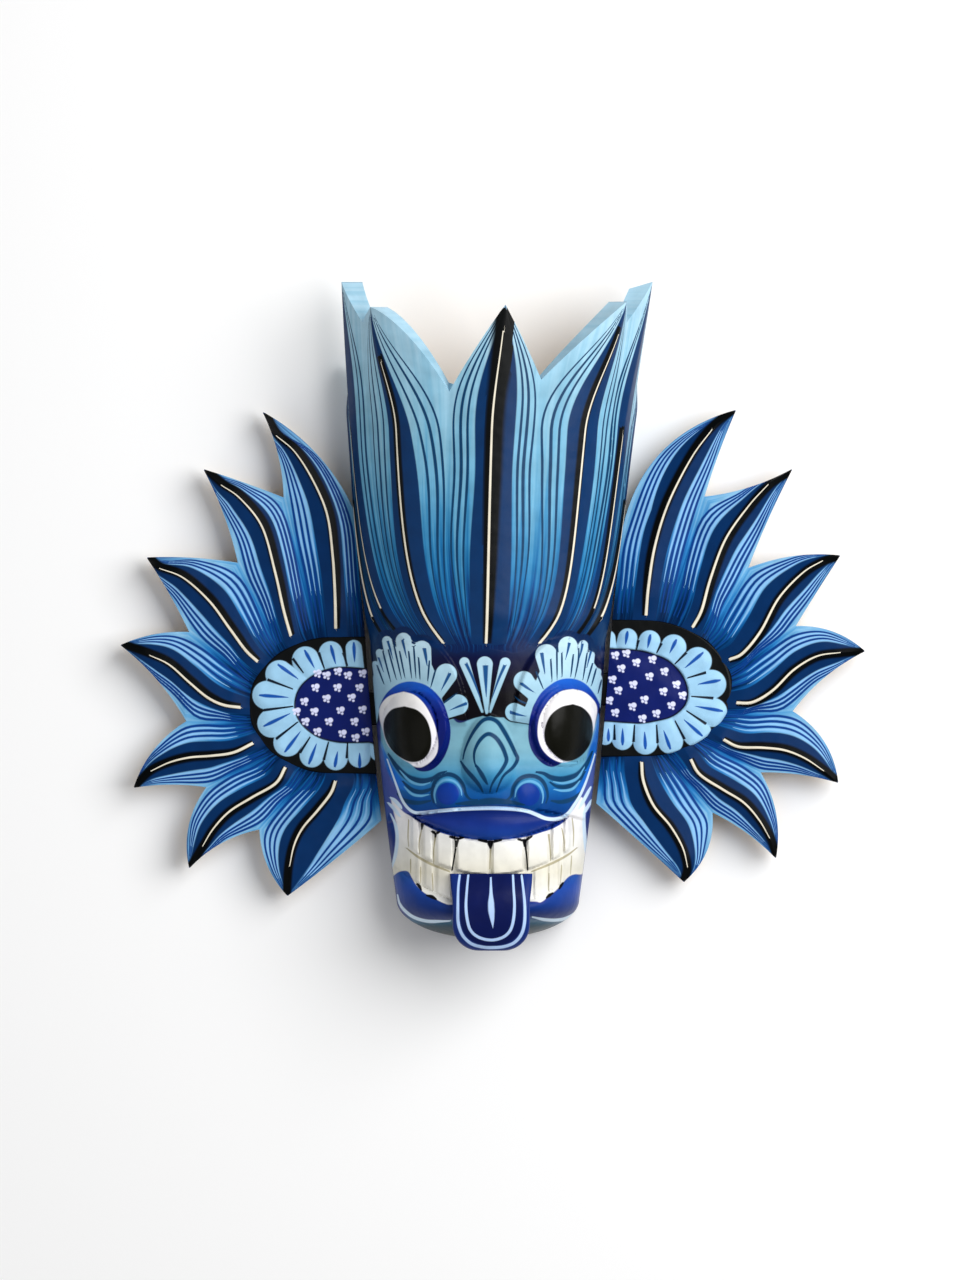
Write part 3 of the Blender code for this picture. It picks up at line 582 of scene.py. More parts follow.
draw_lines(mask_data, "cream", over, creams)
draw_lines(mask_data, "black", over, blacks)
draw_lines(mask_data, "hair", over, hairs)


# The painting of the face
# Blue-white brow petals on a black ground, blue lids round white eyes, a muzzle that pales upwards
# between dark lines, and a white mouth round navy lips. Shapes are closed smooth outlines. Some of the
# colour is painted light and shade: the muzzle's deep navy and a broad dark stroke under the nose, a
# darker band across the bite and side teeth, the lower lip's pale corners and dark foot, and the chin's
# dark rolled-under foot.
def outline_depth(spots, outline, reach=4.0):
    """Distance inside a closed smooth outline, negative outside it, and no lower than minus the reach."""
    path = curve([*outline, outline[0]], 6 * len(outline))
    path = np.vstack([path, path[:1]])
    found = np.full(len(spots), -reach)
    low, high = path.min(axis=0) - reach, path.max(axis=0) + reach
    close = np.flatnonzero(((spots > low) & (spots < high)).all(axis=1))
    if not len(close):
        return found
    distance, _, _ = nearest(spots[close], path, np.ones(len(path)))
    start, end = path[:-1], path[1:]
    x, y = spots[close, :1], spots[close, 1:]
    spans = (start[:, 1] > y) != (end[:, 1] > y)
    rise = np.where(end[:, 1] == start[:, 1], 1.0, end[:, 1] - start[:, 1])
    crossing = start[:, 0] + (y - start[:, 1]) / rise * (end[:, 0] - start[:, 0])
    inside = (spans & (crossing < x)).sum(axis=1) % 2 == 1
    found[close] = np.maximum(np.where(inside, 1, -1) * np.abs(distance), -reach)
    return found


def petal_depth(spots, petals, reach=4.0):
    """Distance inside the nearest of the petals, each a tapered bar with a round end at its tip."""
    found = np.full(len(spots), -reach)
    for tip, foot, width, foot_width in petals:
        distance, half, _ = nearest(spots, np.array([tip, foot], float), np.array([width, foot_width]))
        found = np.maximum(found, half - np.abs(distance))
    return found


LEFT_PUPIL = ((-40.4, -41.2), (-34.4, -43), (-30.2, -47.4), (-28.2, -53.8), (-28.4, -60.3),
    (-31.2, -64.9), (-35.8, -66.7), (-40.8, -65.5), (-46.3, -61.2), (-49.6, -54.7), (-49.8, -47.8),
    (-46.3, -42.8))
LEFT_WHITE = ((-40.8, -34.5), (-35.8, -36.1), (-31.6, -39.8), (-28.4, -45.1), (-26.1, -51.1),
    (-25, -57.5), (-25.6, -62.6), (-28.4, -66.5), (-32.5, -69), (-35.8, -68.8), (-38.1, -67.2),
    (-42.7, -64.4), (-48.2, -58.9), (-50.5, -52), (-51.9, -46.5), (-51.6, -41.4), (-47.7, -36.8))
LEFT_LID = ((-52.1, -41.9), (-50, -37.3), (-47.3, -34), (-43.6, -31.3), (-39.4, -30), (-35.3, -30.1),
    (-30.7, -31.5), (-26.6, -34.5), (-22.9, -39.1), (-20.6, -45.1), (-19.3, -51.5), (-19.7, -57.5),
    (-21.5, -63), (-24.3, -67.4), (-27.9, -70.2), (-31.6, -71), (-34.8, -70.2), (-37.1, -67.6),
    (-42.7, -61.6), (-48.2, -53.8), (-50.9, -47.8))
RIGHT_PUPIL = ((36.5, -40.2), (41.1, -41.9), (44.7, -46), (45.8, -52), (44.5, -58.4), (40.8, -63.5),
    (36, -66.1), (31.4, -65.8), (26.8, -62.1), (23.8, -57.5), (23.6, -51.5), (26.1, -45.5), (30.9, -41.6))
RIGHT_WHITE = ((36.5, -33.4), (41.1, -34.5), (44.7, -37), (47.3, -40.5), (47.7, -44.2), (46.8, -48.8),
    (45.7, -53.4), (41.1, -62.6), (36, -66), (31.9, -66.9), (28.6, -66), (25, -63.7), (22.2, -60.3),
    (20.6, -55.7), (20.4, -51.1), (21.3, -46), (23.6, -41.4), (26.8, -37.3), (31.4, -34.3))
RIGHT_LID = ((49.1, -40.5), (46.6, -35.9), (42.9, -31.5), (38.8, -29.2), (34.2, -28.5), (29.6, -29.4),
    (25.4, -32), (21.7, -35.4), (19, -40), (17.1, -45.1), (16.2, -50.6), (16.2, -56.1), (17.6, -61.2),
    (20.4, -65.3), (23.6, -67.9), (26.8, -68.9), (29.6, -68.1), (32.3, -66.2), (37.8, -61.6),
    (44.7, -54.7), (47.5, -46.9))
MUZZLE = ((-51.4, -59.3), (-49.1, -64.9), (-46.8, -70.8), (-44.5, -77.3), (-42.2, -83.3), (-39.4, -86.9),
    (-36.2, -89), (-33, -89.2), (-27.9, -88.5), (-19.7, -87.9), (-10.5, -87.2), (-1.3, -86.9),
    (7.9, -87.2), (14.8, -88.1), (19.4, -89.5), (23.1, -91.1), (27.3, -91.8), (30.9, -91.3),
    (33.7, -89.9), (36, -87.2), (38.8, -82.8), (41.5, -77.7), (43.8, -71.8), (46.1, -64.9), (48, -57),
    (48.4, -45.5), (44.7, -38.6), (21.7, -34), (12.5, -46), (3.3, -46), (-2.2, -45.1), (-7.7, -46),
    (-15.1, -48.8), (-19.7, -45.5), (-33.5, -34), (-49.6, -44.2))
MOUTH = ((-46.8, -83.3), (-43.6, -86.5), (-39.9, -90.2), (-34.4, -91.5), (-19.7, -91.5), (-1.3, -91.5),
    (17.1, -91.5), (30.9, -92.5), (35.5, -89.7), (38.3, -86), (40.6, -82.8), (42.4, -87.4), (42, -94.8),
    (43.1, -103), (42.9, -111.3), (41.5, -117.8), (37.4, -118.2), (34.2, -119.6), (31.4, -122.8),
    (28.2, -125.8), (25, -128.3), (21.7, -130.6), (18.1, -130.2), (-1.3, -130.2), (-18.7, -131.6),
    (-21.5, -131.3), (-24.3, -130.2), (-27, -128.6), (-31.6, -126.3), (-34.8, -123.3), (-37.1, -119.6),
    (-39, -117.1), (-42.7, -117.1), (-45.9, -119.6), (-46.3, -115.9), (-44.3, -109.9), (-43.6, -103),
    (-44, -96.1), (-45.4, -89.7))
UPPER_LIP = ((-39.9, -89.9), (-33.5, -90.6), (-26.1, -89.7), (-17.4, -88.8), (-5.9, -88.3), (5.6, -88.3),
    (13.9, -89.2), (18.5, -90.9), (23.1, -92.7), (27.7, -93.5), (31.9, -92.9), (35.1, -91.3),
    (31.9, -94.5), (27.3, -97.1), (21.7, -98.9), (16.2, -100.5), (10.2, -101.5), (3.3, -102.1),
    (-2.2, -102.4), (-10.5, -101.7), (-17.4, -100.6), (-24.3, -98.7), (-29.8, -96.1), (-34.4, -93.6))
LOWER_LIP_LEFT = ((-46.6, -120.1), (-43.1, -117.2), (-38.8, -116.8), (-36.7, -120.8), (-34.4, -123.7),
    (-31.2, -126.5), (-27.5, -128.6), (-23.8, -130.4), (-21, -131.6), (-18.3, -131.8), (-10.5, -132),
    (-10.5, -138.5), (-18.7, -138.7), (-24.3, -139.2), (-31.2, -139.2), (-37.1, -137.3), (-41.3, -134.1),
    (-43.6, -129.3), (-44.5, -124.2))
LOWER_LIP_RIGHT = ((10.2, -131.6), (17.6, -130.9), (22.2, -131.1), (25.4, -128.8), (28.6, -126),
    (31.4, -123.1), (34.2, -119.8), (36.9, -118.4), (40.8, -119.6), (41.3, -126), (40.4, -132.9),
    (36.9, -136.8), (30.9, -138.5), (24, -138.5), (17.6, -137.5), (10.2, -137.5))
LEAVES = (
    ((-47.7, -90.2), (-45.7, -94.8), (-44.5, -100.7), (-45, -107.6), (-46.6, -115), (-47.7, -117.1),
        (-49.1, -109.9), (-49.6, -102.1), (-49.1, -94.8)),
    ((43.8, -87.4), (45.2, -92.9), (45.4, -100.7), (44.7, -107.6), (43.4, -112.7), (42.7, -105.3),
        (42.4, -97.5), (42.7, -91.5)),
)
FOREHEAD = ((-30.7, -9.7), (-25.6, -12.4), (-21, -15.6), (-15.1, -17.2), (-8.2, -16.6), (-3.6, -15),
    (2, -15.6), (8.9, -17), (14.4, -15.6), (18.5, -12.7), (22.2, -10.1), (24, -15.6), (17.1, -27.1),
    (10.2, -38.6), (6.1, -45.5), (1, -46.2), (-2.6, -45.3), (-6.8, -46.2), (-14.1, -47.8), (-18.7, -45.1),
    (-24.3, -34), (-27, -21.2))
LEFT_PETALS = (((-56, -28.5), (-52.8, -40.5), 1.3, 2.4), ((-53.9, -22.1), (-51.4, -35), 1.5, 1.8),
    ((-51.9, -16.8), (-48.2, -32.2), 1.7, 1.8), ((-48.4, -11.5), (-44.5, -31.3), 2.3, 2.2),
    ((-40.8, -11.3), (-39, -31.3), 3.6, 2.8), ((-32.3, -15.4), (-31.2, -31.3), 4.1, 3.4), ((-21.3, -26.7),
    (-26.1, -35.9), 4.9, 3.2), ((-16, -40.5), (-21.5, -43.7), 4.7, 3.2))
RIGHT_PETALS = (((48.4, -25.3), (46.1, -36.8), 1.3, 1.8), ((45, -17.7), (42.9, -33.1), 1.6, 1.8),
    ((41.3, -13.3), (39.2, -31.3), 2.2, 2.2), ((34.2, -13.8), (33.7, -29.4), 4.4, 2.8), ((24.3, -17.9),
    (26.8, -31.3), 5.0, 3.4), ((14.1, -29.9), (19.9, -36.8), 4.7, 3.2), ((9.8, -43.9), (16.7, -46),
    4.2, 3.2))
FANS = (
    ((-55.5, -34), (-54.6, -26.7), (-50.9, -19.3), (-46.3, -14.7), (-40.8, -13.8), (-36.2, -14.3),
        (-31.6, -17), (-27.9, -22.5), (-25.6, -28.5), (-24.7, -34), (-22.9, -39.1), (-21, -44.6),
        (-26.1, -38.6), (-31.6, -34), (-39.4, -32.2), (-46.8, -35.9), (-51.4, -41.4), (-53.2, -48.8),
        (-55.1, -48.8)),
    ((51.2, -34), (49.8, -27.6), (46.6, -22.1), (42, -17), (36.5, -15.6), (30.9, -16.1), (25.9, -20.2),
        (21.7, -24.8), (19.4, -30.4), (17.6, -35), (15.3, -40), (13.9, -44.6), (16.7, -46), (19, -40),
        (25, -34), (34.2, -30.8), (42.4, -33.1), (47, -37.7), (49.8, -43.2), (51.2, -45.1)),
)
CRESCENTS = (
    ((-51.4, -57.5), (-48.6, -63.5), (-44.5, -70.4), (-40.4, -75.9), (-37.1, -79.6), (-42.2, -79.1),
        (-46.3, -74.5), (-49.1, -68.1)),
    ((48.4, -44.2), (48.6, -54.3), (47, -64.4), (43.8, -73.6), (39.2, -81), (38.3, -79.1), (41.5, -71.8),
        (43.8, -61.6), (46.1, -54.7)),
)
MIDDLE_PETALS = (((-13, -21.2), (-4.9, -43.7), 2.3, 0.5), ((-3.7, -22.1), (-2.9, -44.2), 3.6, 0.6),
    ((5.6, -21.4), (-1.3, -43.7), 2.4, 0.5))
NOSTRIL_DISCS = (((-20.6, -81), 5.1), ((16.2, -81.4), 5.2))
# Painted shade: a broad dark stroke under the nose, in the recess over the upper lip.
PHILTRUM_SHADE = ((-17.4, -85.6), (-8.2, -85.1), (-0.3, -84.4), (7.9, -84.9), (14.8, -86.2))
FINE = (0.3, 0.45, 0.4, 0.35, 0.12)
MIDDLING = (0.3, 0.85, 1.05, 0.85, 0.3)
BROAD = (0.4, 1.2, 1.5, 1.2, 0.4)

face_lines = [  # dark lines of the brows, nose, cheeks and mouth
    *[(line, FINE) for line in (
        ((-53.2, -22.1), (-49.6, -31.7)), ((-50.5, -15.6), (-46.6, -30.4)), ((-48, -14.7),
            (-44, -29.4)), ((-45.4, -12.4), (-41.7, -29)), ((-42.7, -15.6), (-40.1, -28.5)),
        ((-38.5, -15.6), (-37.1, -28.5)), ((-36.2, -12.9), (-35.1, -28.5)), ((-33.9, -18.9),
            (-33.2, -29.4)), ((-28.9, -20.2), (-29.8, -30.4)), ((-26.1, -24.4), (-28.4, -32.7)),
        ((-22.4, -39.6), (-19.7, -37.7), (-16.4, -35.2)), ((49.8, -29), (48, -35.9)), ((47.3, -23.9),
            (45, -32.2)), ((45.7, -21.2), (42.9, -30.8)),
        ((43.1, -16.6), (41.1, -29.4)), ((39.2, -14.7), (39, -20.2), (37.4, -28.5)), ((36.7, -17.5),
            (35.5, -28.1)), ((31.4, -16.6), (31.6, -28.1)),
        ((29.1, -14.3), (29.3, -29)), ((26.3, -19.3), (27, -29.9)), ((19.4, -24.8), (23.1, -33.6)),
            ((15.3, -40), (12.1, -38.6), (9.8, -36.6)))],
    *[(line, MIDDLING) for line in (
        ((-13.7, -65.5), (-12.8, -61.2), (-10.5, -55.7), (-7.5, -50.8), (-4.5, -47.6), (-1.3, -46.8),
            (2, -48.3), (4.7, -52), (7.5, -57), (10.2, -62.6), (11.2, -65.3), (9.1, -69),
            (4.9, -72.7), (2.6, -77.3), (1.5, -80.5)),
        ((-15.1, -65.5), (-12.3, -69.9), (-8.6, -74.1), (-5.9, -77.7), (-4.3, -81)),
        ((-7.7, -69), (-8.6, -64.9), (-8.2, -61), (-5.9, -56.6), (-2.4, -53.8), (1, -55.2),
            (3.8, -58.9), (5.6, -63), (6.1, -66.2), (3.8, -70.4), (1, -74.1), (-0.8, -77.7),
            (-1.5, -81)),
        ((-8.2, -67.2), (-4.9, -72.5), (-2.2, -77.3)),
        ((-27, -85.6), (-27.9, -81), (-26.6, -75.9), (-23.8, -73.1), (-20.1, -72.2), (-16.4, -73.6),
            (-13.7, -77), (-12.3, -81.4), (-10, -83.7), (-6.8, -83.7)),
        ((24, -86), (25, -81.9), (23.6, -76.8), (20.8, -73.8), (16.7, -72.9), (12.5, -74.1),
            (9.5, -77.7), (8.4, -81.9), (6.1, -84), (2.4, -84.2)),
        ((-41.7, -75), (-37.6, -78.9), (-33.5, -80.3), (-29.3, -79.4), (-26.1, -77.3)),
            ((42.4, -70.8), (38.8, -75.9), (33.7, -78), (29.1, -77.7), (25.4, -75.4)),
        ((-44, -81), (-40.4, -84.2), (-34.4, -85.3), (-27.9, -84.2)), ((40.6, -80), (36.9, -83.3),
            (31.4, -84.9), (25.9, -84.2)))],
    # the broad stroke of painted shade under the nose
    (PHILTRUM_SHADE, (0.3, 1.3, 1.6, 1.2, 0.3)),
    *[(line, BROAD) for line in (
        ((-48.2, -62.6), (-44, -68.8), (-39, -73.6), (-33, -75.3), (-27.9, -74.5), (-24.3, -72),
            (-20.6, -70.8)),
        ((45.7, -61.6), (42.9, -67.6), (38.8, -72.5), (32.3, -74.5), (26.8, -73.8), (23.1, -71.8),
            (19, -71.1)))],
]
tooth_lines = [  # shadow lines between and over the teeth
    *[(line, (0.5, 0.3, 0.28, 0.2)) for line in (((-1, -104.4), (-1.5, -115.5)), ((-26.1, -99.8),
        (-27, -106.3), (-27, -113.2)),
        ((25.4, -99.4), (26.1, -106.3), (26.3, -112.2)))],
    *[(line, (0.2, 0.3, 0.25, 0.12)) for line in (((-32.5, -97.1), (-33.7, -103.5), (-33.5, -109)),
        ((-38.5, -92.5), (-38.8, -100.7), (-38.5, -105.8)),
        ((31.4, -96.6), (32.5, -102.6), (32.5, -108.1)), ((36.2, -92), (36.9, -99.4),
            (36.7, -105.8)), ((-27.7, -117.3), (-27.3, -126)),
        ((-33, -114.1), (-33, -122.4)), ((-37.6, -110.4), (-37.6, -117.8)), ((25.6, -116.8),
            (25.4, -126)), ((31.4, -113.2), (30.9, -121.9)),
        ((36, -109.5), (35.5, -118.2)))],
    *[(line, (0.2, 0.5, 0.6, 0.5, 0.3)) for line in (((-39.9, -105.8), (-34.4, -109.9),
        (-27.9, -113.4), (-19.2, -116.8)),
        ((38.8, -105.8), (33.7, -109.5), (26.3, -113.2), (17.1, -116.8)))],
]
light_lines = [  # pale lines: the muzzle's edge, the fans of the cheek, the nostrils' rings, the lower lip
    *[(line, (0.3, 0.75, 0.8, 0.8, 0.3)) for line in (
        ((-48.6, -64.9), (-46.3, -71.3), (-44, -77.7), (-41.7, -83.7), (-39, -87.6), (-35.8, -89.7),
            (-31.6, -89.8), (-24.3, -88.9), (-15.1, -88.1), (-1.3, -87.6), (8.9, -88), (15.3, -88.9),
            (19.9, -90.6), (24, -92.3), (28.2, -92.7), (31.9, -91.8), (34.6, -89.9), (36.9, -86.7),
            (39.7, -82.3), (42.4, -76.4), (44.7, -69.9), (47, -62.6)),
        ((-43.8, -127), (-42.7, -131.6), (-39.9, -135.2), (-35.8, -138), (-30.2, -139.5),
            (-24.3, -139.5), (-19.2, -139.2)), ((17.6, -137.3), (24, -138.8), (30, -139.1),
            (34.6, -138), (39.4, -134.8)),
        ((-47.3, -82.8), (-44.5, -84.6), (-41.3, -88.3)), ((-48.4, -85.1), (-45.4, -87.9),
            (-42.2, -92)), ((-47, -90.2), (-44.7, -95.2), (-43.8, -101.2), (-44.5, -108.6),
            (-46.6, -116.4)),
        ((45.2, -77.7), (42.4, -82.8), (39.2, -88.3)), ((46.1, -83.3), (43.4, -87.4), (41.1, -91.1)),
            ((42.2, -87.4), (41.7, -93.8), (42.2, -102.1), (42.9, -108.6), (43.8, -113.2)))],
    ]
soft_lines = [  # soft lines round the nostrils and along the cheeks' folds
    *[(line, (0.2, 0.5, 0.6, 0.5, 0.2)) for line in (
        ((-25.9, -86), (-26.7, -81.4), (-25.4, -77.3), (-22.9, -75.1), (-19.9, -74.7),
            (-16.9, -75.9), (-14.7, -78.9), (-14.1, -82.3)),
        ((22.4, -86), (22.9, -81.9), (21.7, -78), (19.2, -75.9), (16.2, -75.3), (13, -76.4),
            (10.7, -79.1), (10, -82.8)),
        ((-42.7, -70.4), (-38.1, -75.2), (-33, -77), (-28.4, -76)), ((42, -69), (38.3, -74.3),
            (32.3, -76.3), (27.3, -75.6)),
        ((-40.8, -77.7), (-37.1, -81.2), (-33, -82.1), (-28.9, -81.4)), ((40.1, -75), (36.5, -78.9),
            (31.9, -79.8), (27.7, -79.1)))],
]
drops = [  # the blue drops in the petals, thick at the tip
    (((-31.4, -14.3), (-30.7, -17.9), (-30, -23)), (0.9, 0.7, 0.15)), (((-19.4, -25.8),
        (-21.5, -29.9), (-23.6, -34)), (0.8, 0.6, 0.1)),
    (((-11.8, -39.8), (-16, -41.4), (-19.7, -43)), (0.75, 0.5, 0.1)), (((-41.5, -10.1),
        (-40.4, -14.7), (-39.4, -19.3)), (0.7, 0.5, 0.1)),
    (((-48.2, -11), (-46.8, -15.6), (-45.7, -19.8)), (0.6, 0.45, 0.1)), (((-52.6, -18.4),
        (-51.4, -21.6), (-50, -25.8)), (0.5, 0.4, 0.1)),
    (((-12.5, -21.2), (-9.1, -28.5), (-5.4, -38.6)), (0.75, 0.55, 0.1)), (((-3.4, -22.1),
        (-3.3, -28.1), (-3, -37.3)), (1.3, 0.8, 0.1)),
    (((5.6, -22.1), (2.4, -29.4), (-0.6, -38.2)), (0.75, 0.5, 0.1)), (((22.2, -16.6), (22.9, -21.2),
        (23.8, -26.7)), (0.9, 0.6, 0.15)),
    (((35.1, -11), (34.2, -15.6), (33.2, -19.8)), (0.8, 0.5, 0.1)), (((41.1, -11.5), (40.4, -15.6),
        (39.4, -19.8)), (0.7, 0.5, 0.1)),
    (((45, -15.6), (44, -19.3), (42.9, -23.9)), (0.55, 0.4, 0.1)), (((12.3, -30.4), (15.8, -32.9),
        (19, -35)), (0.8, 0.6, 0.1)),
    (((7.2, -43.7), (11.2, -44.9), (15.3, -45.8)), (0.8, 0.6, 0.1)),
]
gaps = [  # black wedges over and under the teeth, and the two black lines beside the front teeth
    (((-16.7, -102.1), (-17.1, -106.7), (-18.7, -116.4)), (0.7, 0.42, 0.38, 0.35)), (((14.4, -102.6),
        (15.3, -109), (15.9, -116.4)), (0.7, 0.42, 0.38, 0.35)),
    (((-32.1, -94.3), (-32.5, -98)), (0.95, 0.2)), (((-28.4, -98), (-26.1, -98.9), (-23.8, -98.2)),
        (0.3, 1.0, 0.3)), (((-26.1, -98.4), (-26.3, -101.7)), (0.9, 0.2)),
    (((-20.1, -100.5), (-16.4, -101.2), (-12.8, -101)), (0.4, 1.1, 0.3)), (((-16.4, -100.7),
        (-16.7, -105.8)), (1.5, 0.3)),
    (((-6.8, -102.1), (-1.3, -102.8), (4.3, -102.1)), (0.4, 1.0, 0.4)), (((-1.3, -102.1),
        (-1.1, -106.3)), (2.2, 0.3)),
    (((10.7, -101.7), (14.4, -102.1), (18.1, -100.3)), (0.4, 0.9, 0.4)), (((14.4, -101.7),
        (14.5, -105.8)), (1.3, 0.3)),
    (((-30.7, -127.4), (-27.9, -128.1), (-25.2, -129.7)), (0.3, 0.9, 0.3)), (((-35.3, -121.9),
        (-33.7, -123.3), (-32.5, -125.6)), (0.3, 0.8, 0.3)),
    (((24, -129), (25.9, -127.4), (27.7, -126.3)), (0.3, 0.8, 0.3)), (((30, -125.1), (31.4, -122.8),
        (32.5, -121.4)), (0.3, 0.7, 0.3)),
]
FRONT_GIRTH = 86.0
GIRTH_WIDTH = 0.9
GROUND_EDGE, HEM_Y, HEM_FADE, LEAST_HEM = 2.5, -50.0, 10.0, 0.4
OUT_OF_REACH = 1000.0


def seen_from_above(data):
    """X and y of each point of a mesh, in millimetres."""
    spots = np.empty(len(data.vertices) * 3, np.float32)
    data.vertices.foreach_get("co", spots)
    return spots.reshape(-1, 3)[:, :2].astype(float) / MM


# The front's points, seen from above; those on the flanks are out of the brush's reach
spots = seen_from_above(mask_data)
front = (FRONT_GIRTH - np.abs(girth)) * GIRTH_WIDTH
spots[front < 0] += OUT_OF_REACH
petals = petal_depth(spots, LEFT_PETALS + RIGHT_PETALS + MIDDLE_PETALS)
for fan in FANS:
    petals = np.maximum(petals, outline_depth(spots, fan))
hem = GROUND_EDGE * smooth((spots[:, 1] - HEM_Y) / HEM_FADE) + LEAST_HEM
face_coats = {
    "below": CROWN_ROOT_Y - climb,
    "muzzle": outline_depth(spots, MUZZLE),
    "crescents": np.maximum(*(outline_depth(spots, shape) for shape in CRESCENTS)),
    "ground": np.maximum(petals + hem, outline_depth(spots, FOREHEAD)),
    "petals": petals,
    "lids": np.maximum(outline_depth(spots, LEFT_LID), outline_depth(spots, RIGHT_LID)),
    "whites": np.maximum(outline_depth(spots, LEFT_WHITE), outline_depth(spots, RIGHT_WHITE)),
    "pupils": np.maximum(outline_depth(spots, LEFT_PUPIL), outline_depth(spots, RIGHT_PUPIL)),
    "discs": petal_depth(spots, [(disc, disc, radius, radius) for disc, radius in NOSTRIL_DISCS]),
    "mouth": outline_depth(spots, MOUTH),
    "upper lip": outline_depth(spots, UPPER_LIP),
    "lower lip": np.maximum(outline_depth(spots, LOWER_LIP_LEFT), outline_depth(spots, LOWER_LIP_RIGHT)),
    "leaves": np.maximum(*(outline_depth(spots, leaf) for leaf in LEAVES)),
}
for name, depth in face_coats.items():
    store(mask_data, name, np.minimum(depth, front))
for name, strokes in (("dark lines", face_lines), ("light lines", light_lines), ("soft lines", soft_lines),
                      ("drops", drops), ("tooth lines", tooth_lines), ("gaps", gaps)):
    strokes = [brush(curve(line, 5 * len(line)), widths) for line, widths in strokes]
    draw_lines(mask_data, name, spots, strokes)


# The enamel and the bare wood
# Gloss enamel is brushed on in coats, pale washes first and thin lines last, and lacquered: clear deep
# colours, faint brush streaks and a soft broad shine. The hollow back and its rims stay bare: pale kaduru
# wood, dull and warm, with the gouge's shallow flutes across a straight grain.
FACE_LOW, FACE_HIGH = -150.0, -14.0
STREAKS = 9.0
COAT_THICKNESS, STREAK_DEPTH, FACET_DEPTH = 0.05, 0.03, 0.35
STREAK_SHIFT, MOTTLE, FACET = 0.14, 9.0, 7.0
DARKEST, PALEST = 0.9, 1.08
GLOSSIEST, DULLEST = 0.3, 0.42
STREAK_RANGE = {1: 0.3, 2: 0.7}
NAVY, LINE_BLUE, LAMP_BLACK, CREAM = "#07305e", "#0b3a60", "#050708", "#e8e0cc"
CROWN_BLUES = ((0.0, "#041e4c"), (0.09, "#084682"), (0.2, "#1a6ca2"), (0.35, "#3e8ab8"), (0.5, "#6caaca"),
    (0.7, "#84b6ce"), (0.85, "#98c4da"), (1.0, "#aacfe2"))
FACE_COATS = (  # field, form, softness of its edge, and one colour or colours by height in mm
    ("band", "region", 0.35, NAVY), ("hair", "line", 0.35, LINE_BLUE), ("black", "line", 0.3, LAMP_BLACK),
    # Below -139.5 mm the ground darkens from teal to near black as the chin rolls under: painted shade.
    ("below", "region", 6.0, ((-16, "#031a48"), (-30, "#08082a"), (-56, "#2c3478"), (-64, "#5260a2"),
                              (-112, "#3c4694"), (-136, "#1c2c80"), (-139.5, "#0f5c7e"),
                              (-142, "#08384a"), (-146, "#031618"))),
    # The muzzle's paint pales upwards; its deepest navy, from -84 mm down under the nose and over the upper
    # lip, is painted shade.
    ("muzzle", "region", 0.4, ((-30, "#6296ae"), (-50, "#7aacbe"), (-60, "#78acbe"), (-67, "#64a2be"),
                               (-73, "#3a88b4"), (-79, "#125ea2"), (-84, "#06468c"), (-89, "#053c80"))),
    ("crescents", "region", 0.8, "#1a68c6"),
    ("ground", "region", 0.35, ((-12, "#052450"), (-19, "#060e38"), (-28, "#08051e"), (-36, "#040208"))),
    ("petals", "region", 0.25, ((-12, "#b8d8e8"), (-30, "#a2cade"), (-44, "#92bed4"))),
    ("lids", "region", 0.3, ((-30, "#1a5cc4"), (-36, "#0c389c"), (-44, "#061a74"), (-66, "#04145c"))),
    ("whites", "region", 0.3, ((-34, "#f0eeea"), (-56, "#eae8f0"))),
    ("pupils", "region", 0.3, "#0c0c06"), ("discs", "region", 0.4, "#0c3692"),
    # The mouth's white is a little darker and warmer around -117 mm, across the bite and the side teeth:
    # painted shade.
    ("mouth", "region", 0.35, ((-86, "#eae9ee"), (-104, "#eeede8"), (-117, "#e2dece"), (-128, "#eeede8"))),
    ("upper lip", "region", 0.3, ((-88, "#0c1e5e"), (-95, "#143084"), (-102, "#1c469e"))),
    # The lower lip is paler at its upper corners, a painted highlight, and darkens down to its foot, painted
    # shade.
    ("lower lip", "region", 0.3, ((-117, "#2c5298"), (-124, "#1e469e"), (-136, "#0c2868"))),
    ("leaves", "region", 0.3, "#122a78"), ("tooth lines", "line", 0.5, "#b0a88c"),
    ("dark lines", "line", 0.35, LINE_BLUE), ("light lines", "line", 0.3, "#cfe4f6"),
    ("soft lines", "line", 0.5, "#62a6d0"),
    ("drops", "line", 0.35, "#1b4f86"), ("gaps", "line", 0.3, "#0c0c10"), ("cream", "line", 0.3, CREAM))


def srgb(code):
    """Linear colour of an sRGB hex code."""
    parts = np.array([int(code[k:k + 2], 16) for k in (1, 3, 5)]) / 255
    return (*np.where(parts > 0.04045, ((parts + 0.055) / 1.055) ** 2.4, parts / 12.92).tolist(), 1.0)


def add(tree, kind, links=None, stops=(), **settings):
    """Adds a node with its settings, the values and links of its sockets, and its colours if it has any."""
    node = tree.nodes.new(kind)
    for name, value in settings.items():
        setattr(node, name, value)
    for socket, value in (links or {}).items():
        if isinstance(value, bpy.types.NodeSocket):
            tree.links.new(value, node.inputs[socket])
        else:
            node.inputs[socket].default_value = value
    for k, (at, code) in enumerate(stops):
        knot = node.color_ramp.elements[k] if k < 2 else node.color_ramp.elements.new(at)
        knot.position, knot.color = at, srgb(code)
    return node


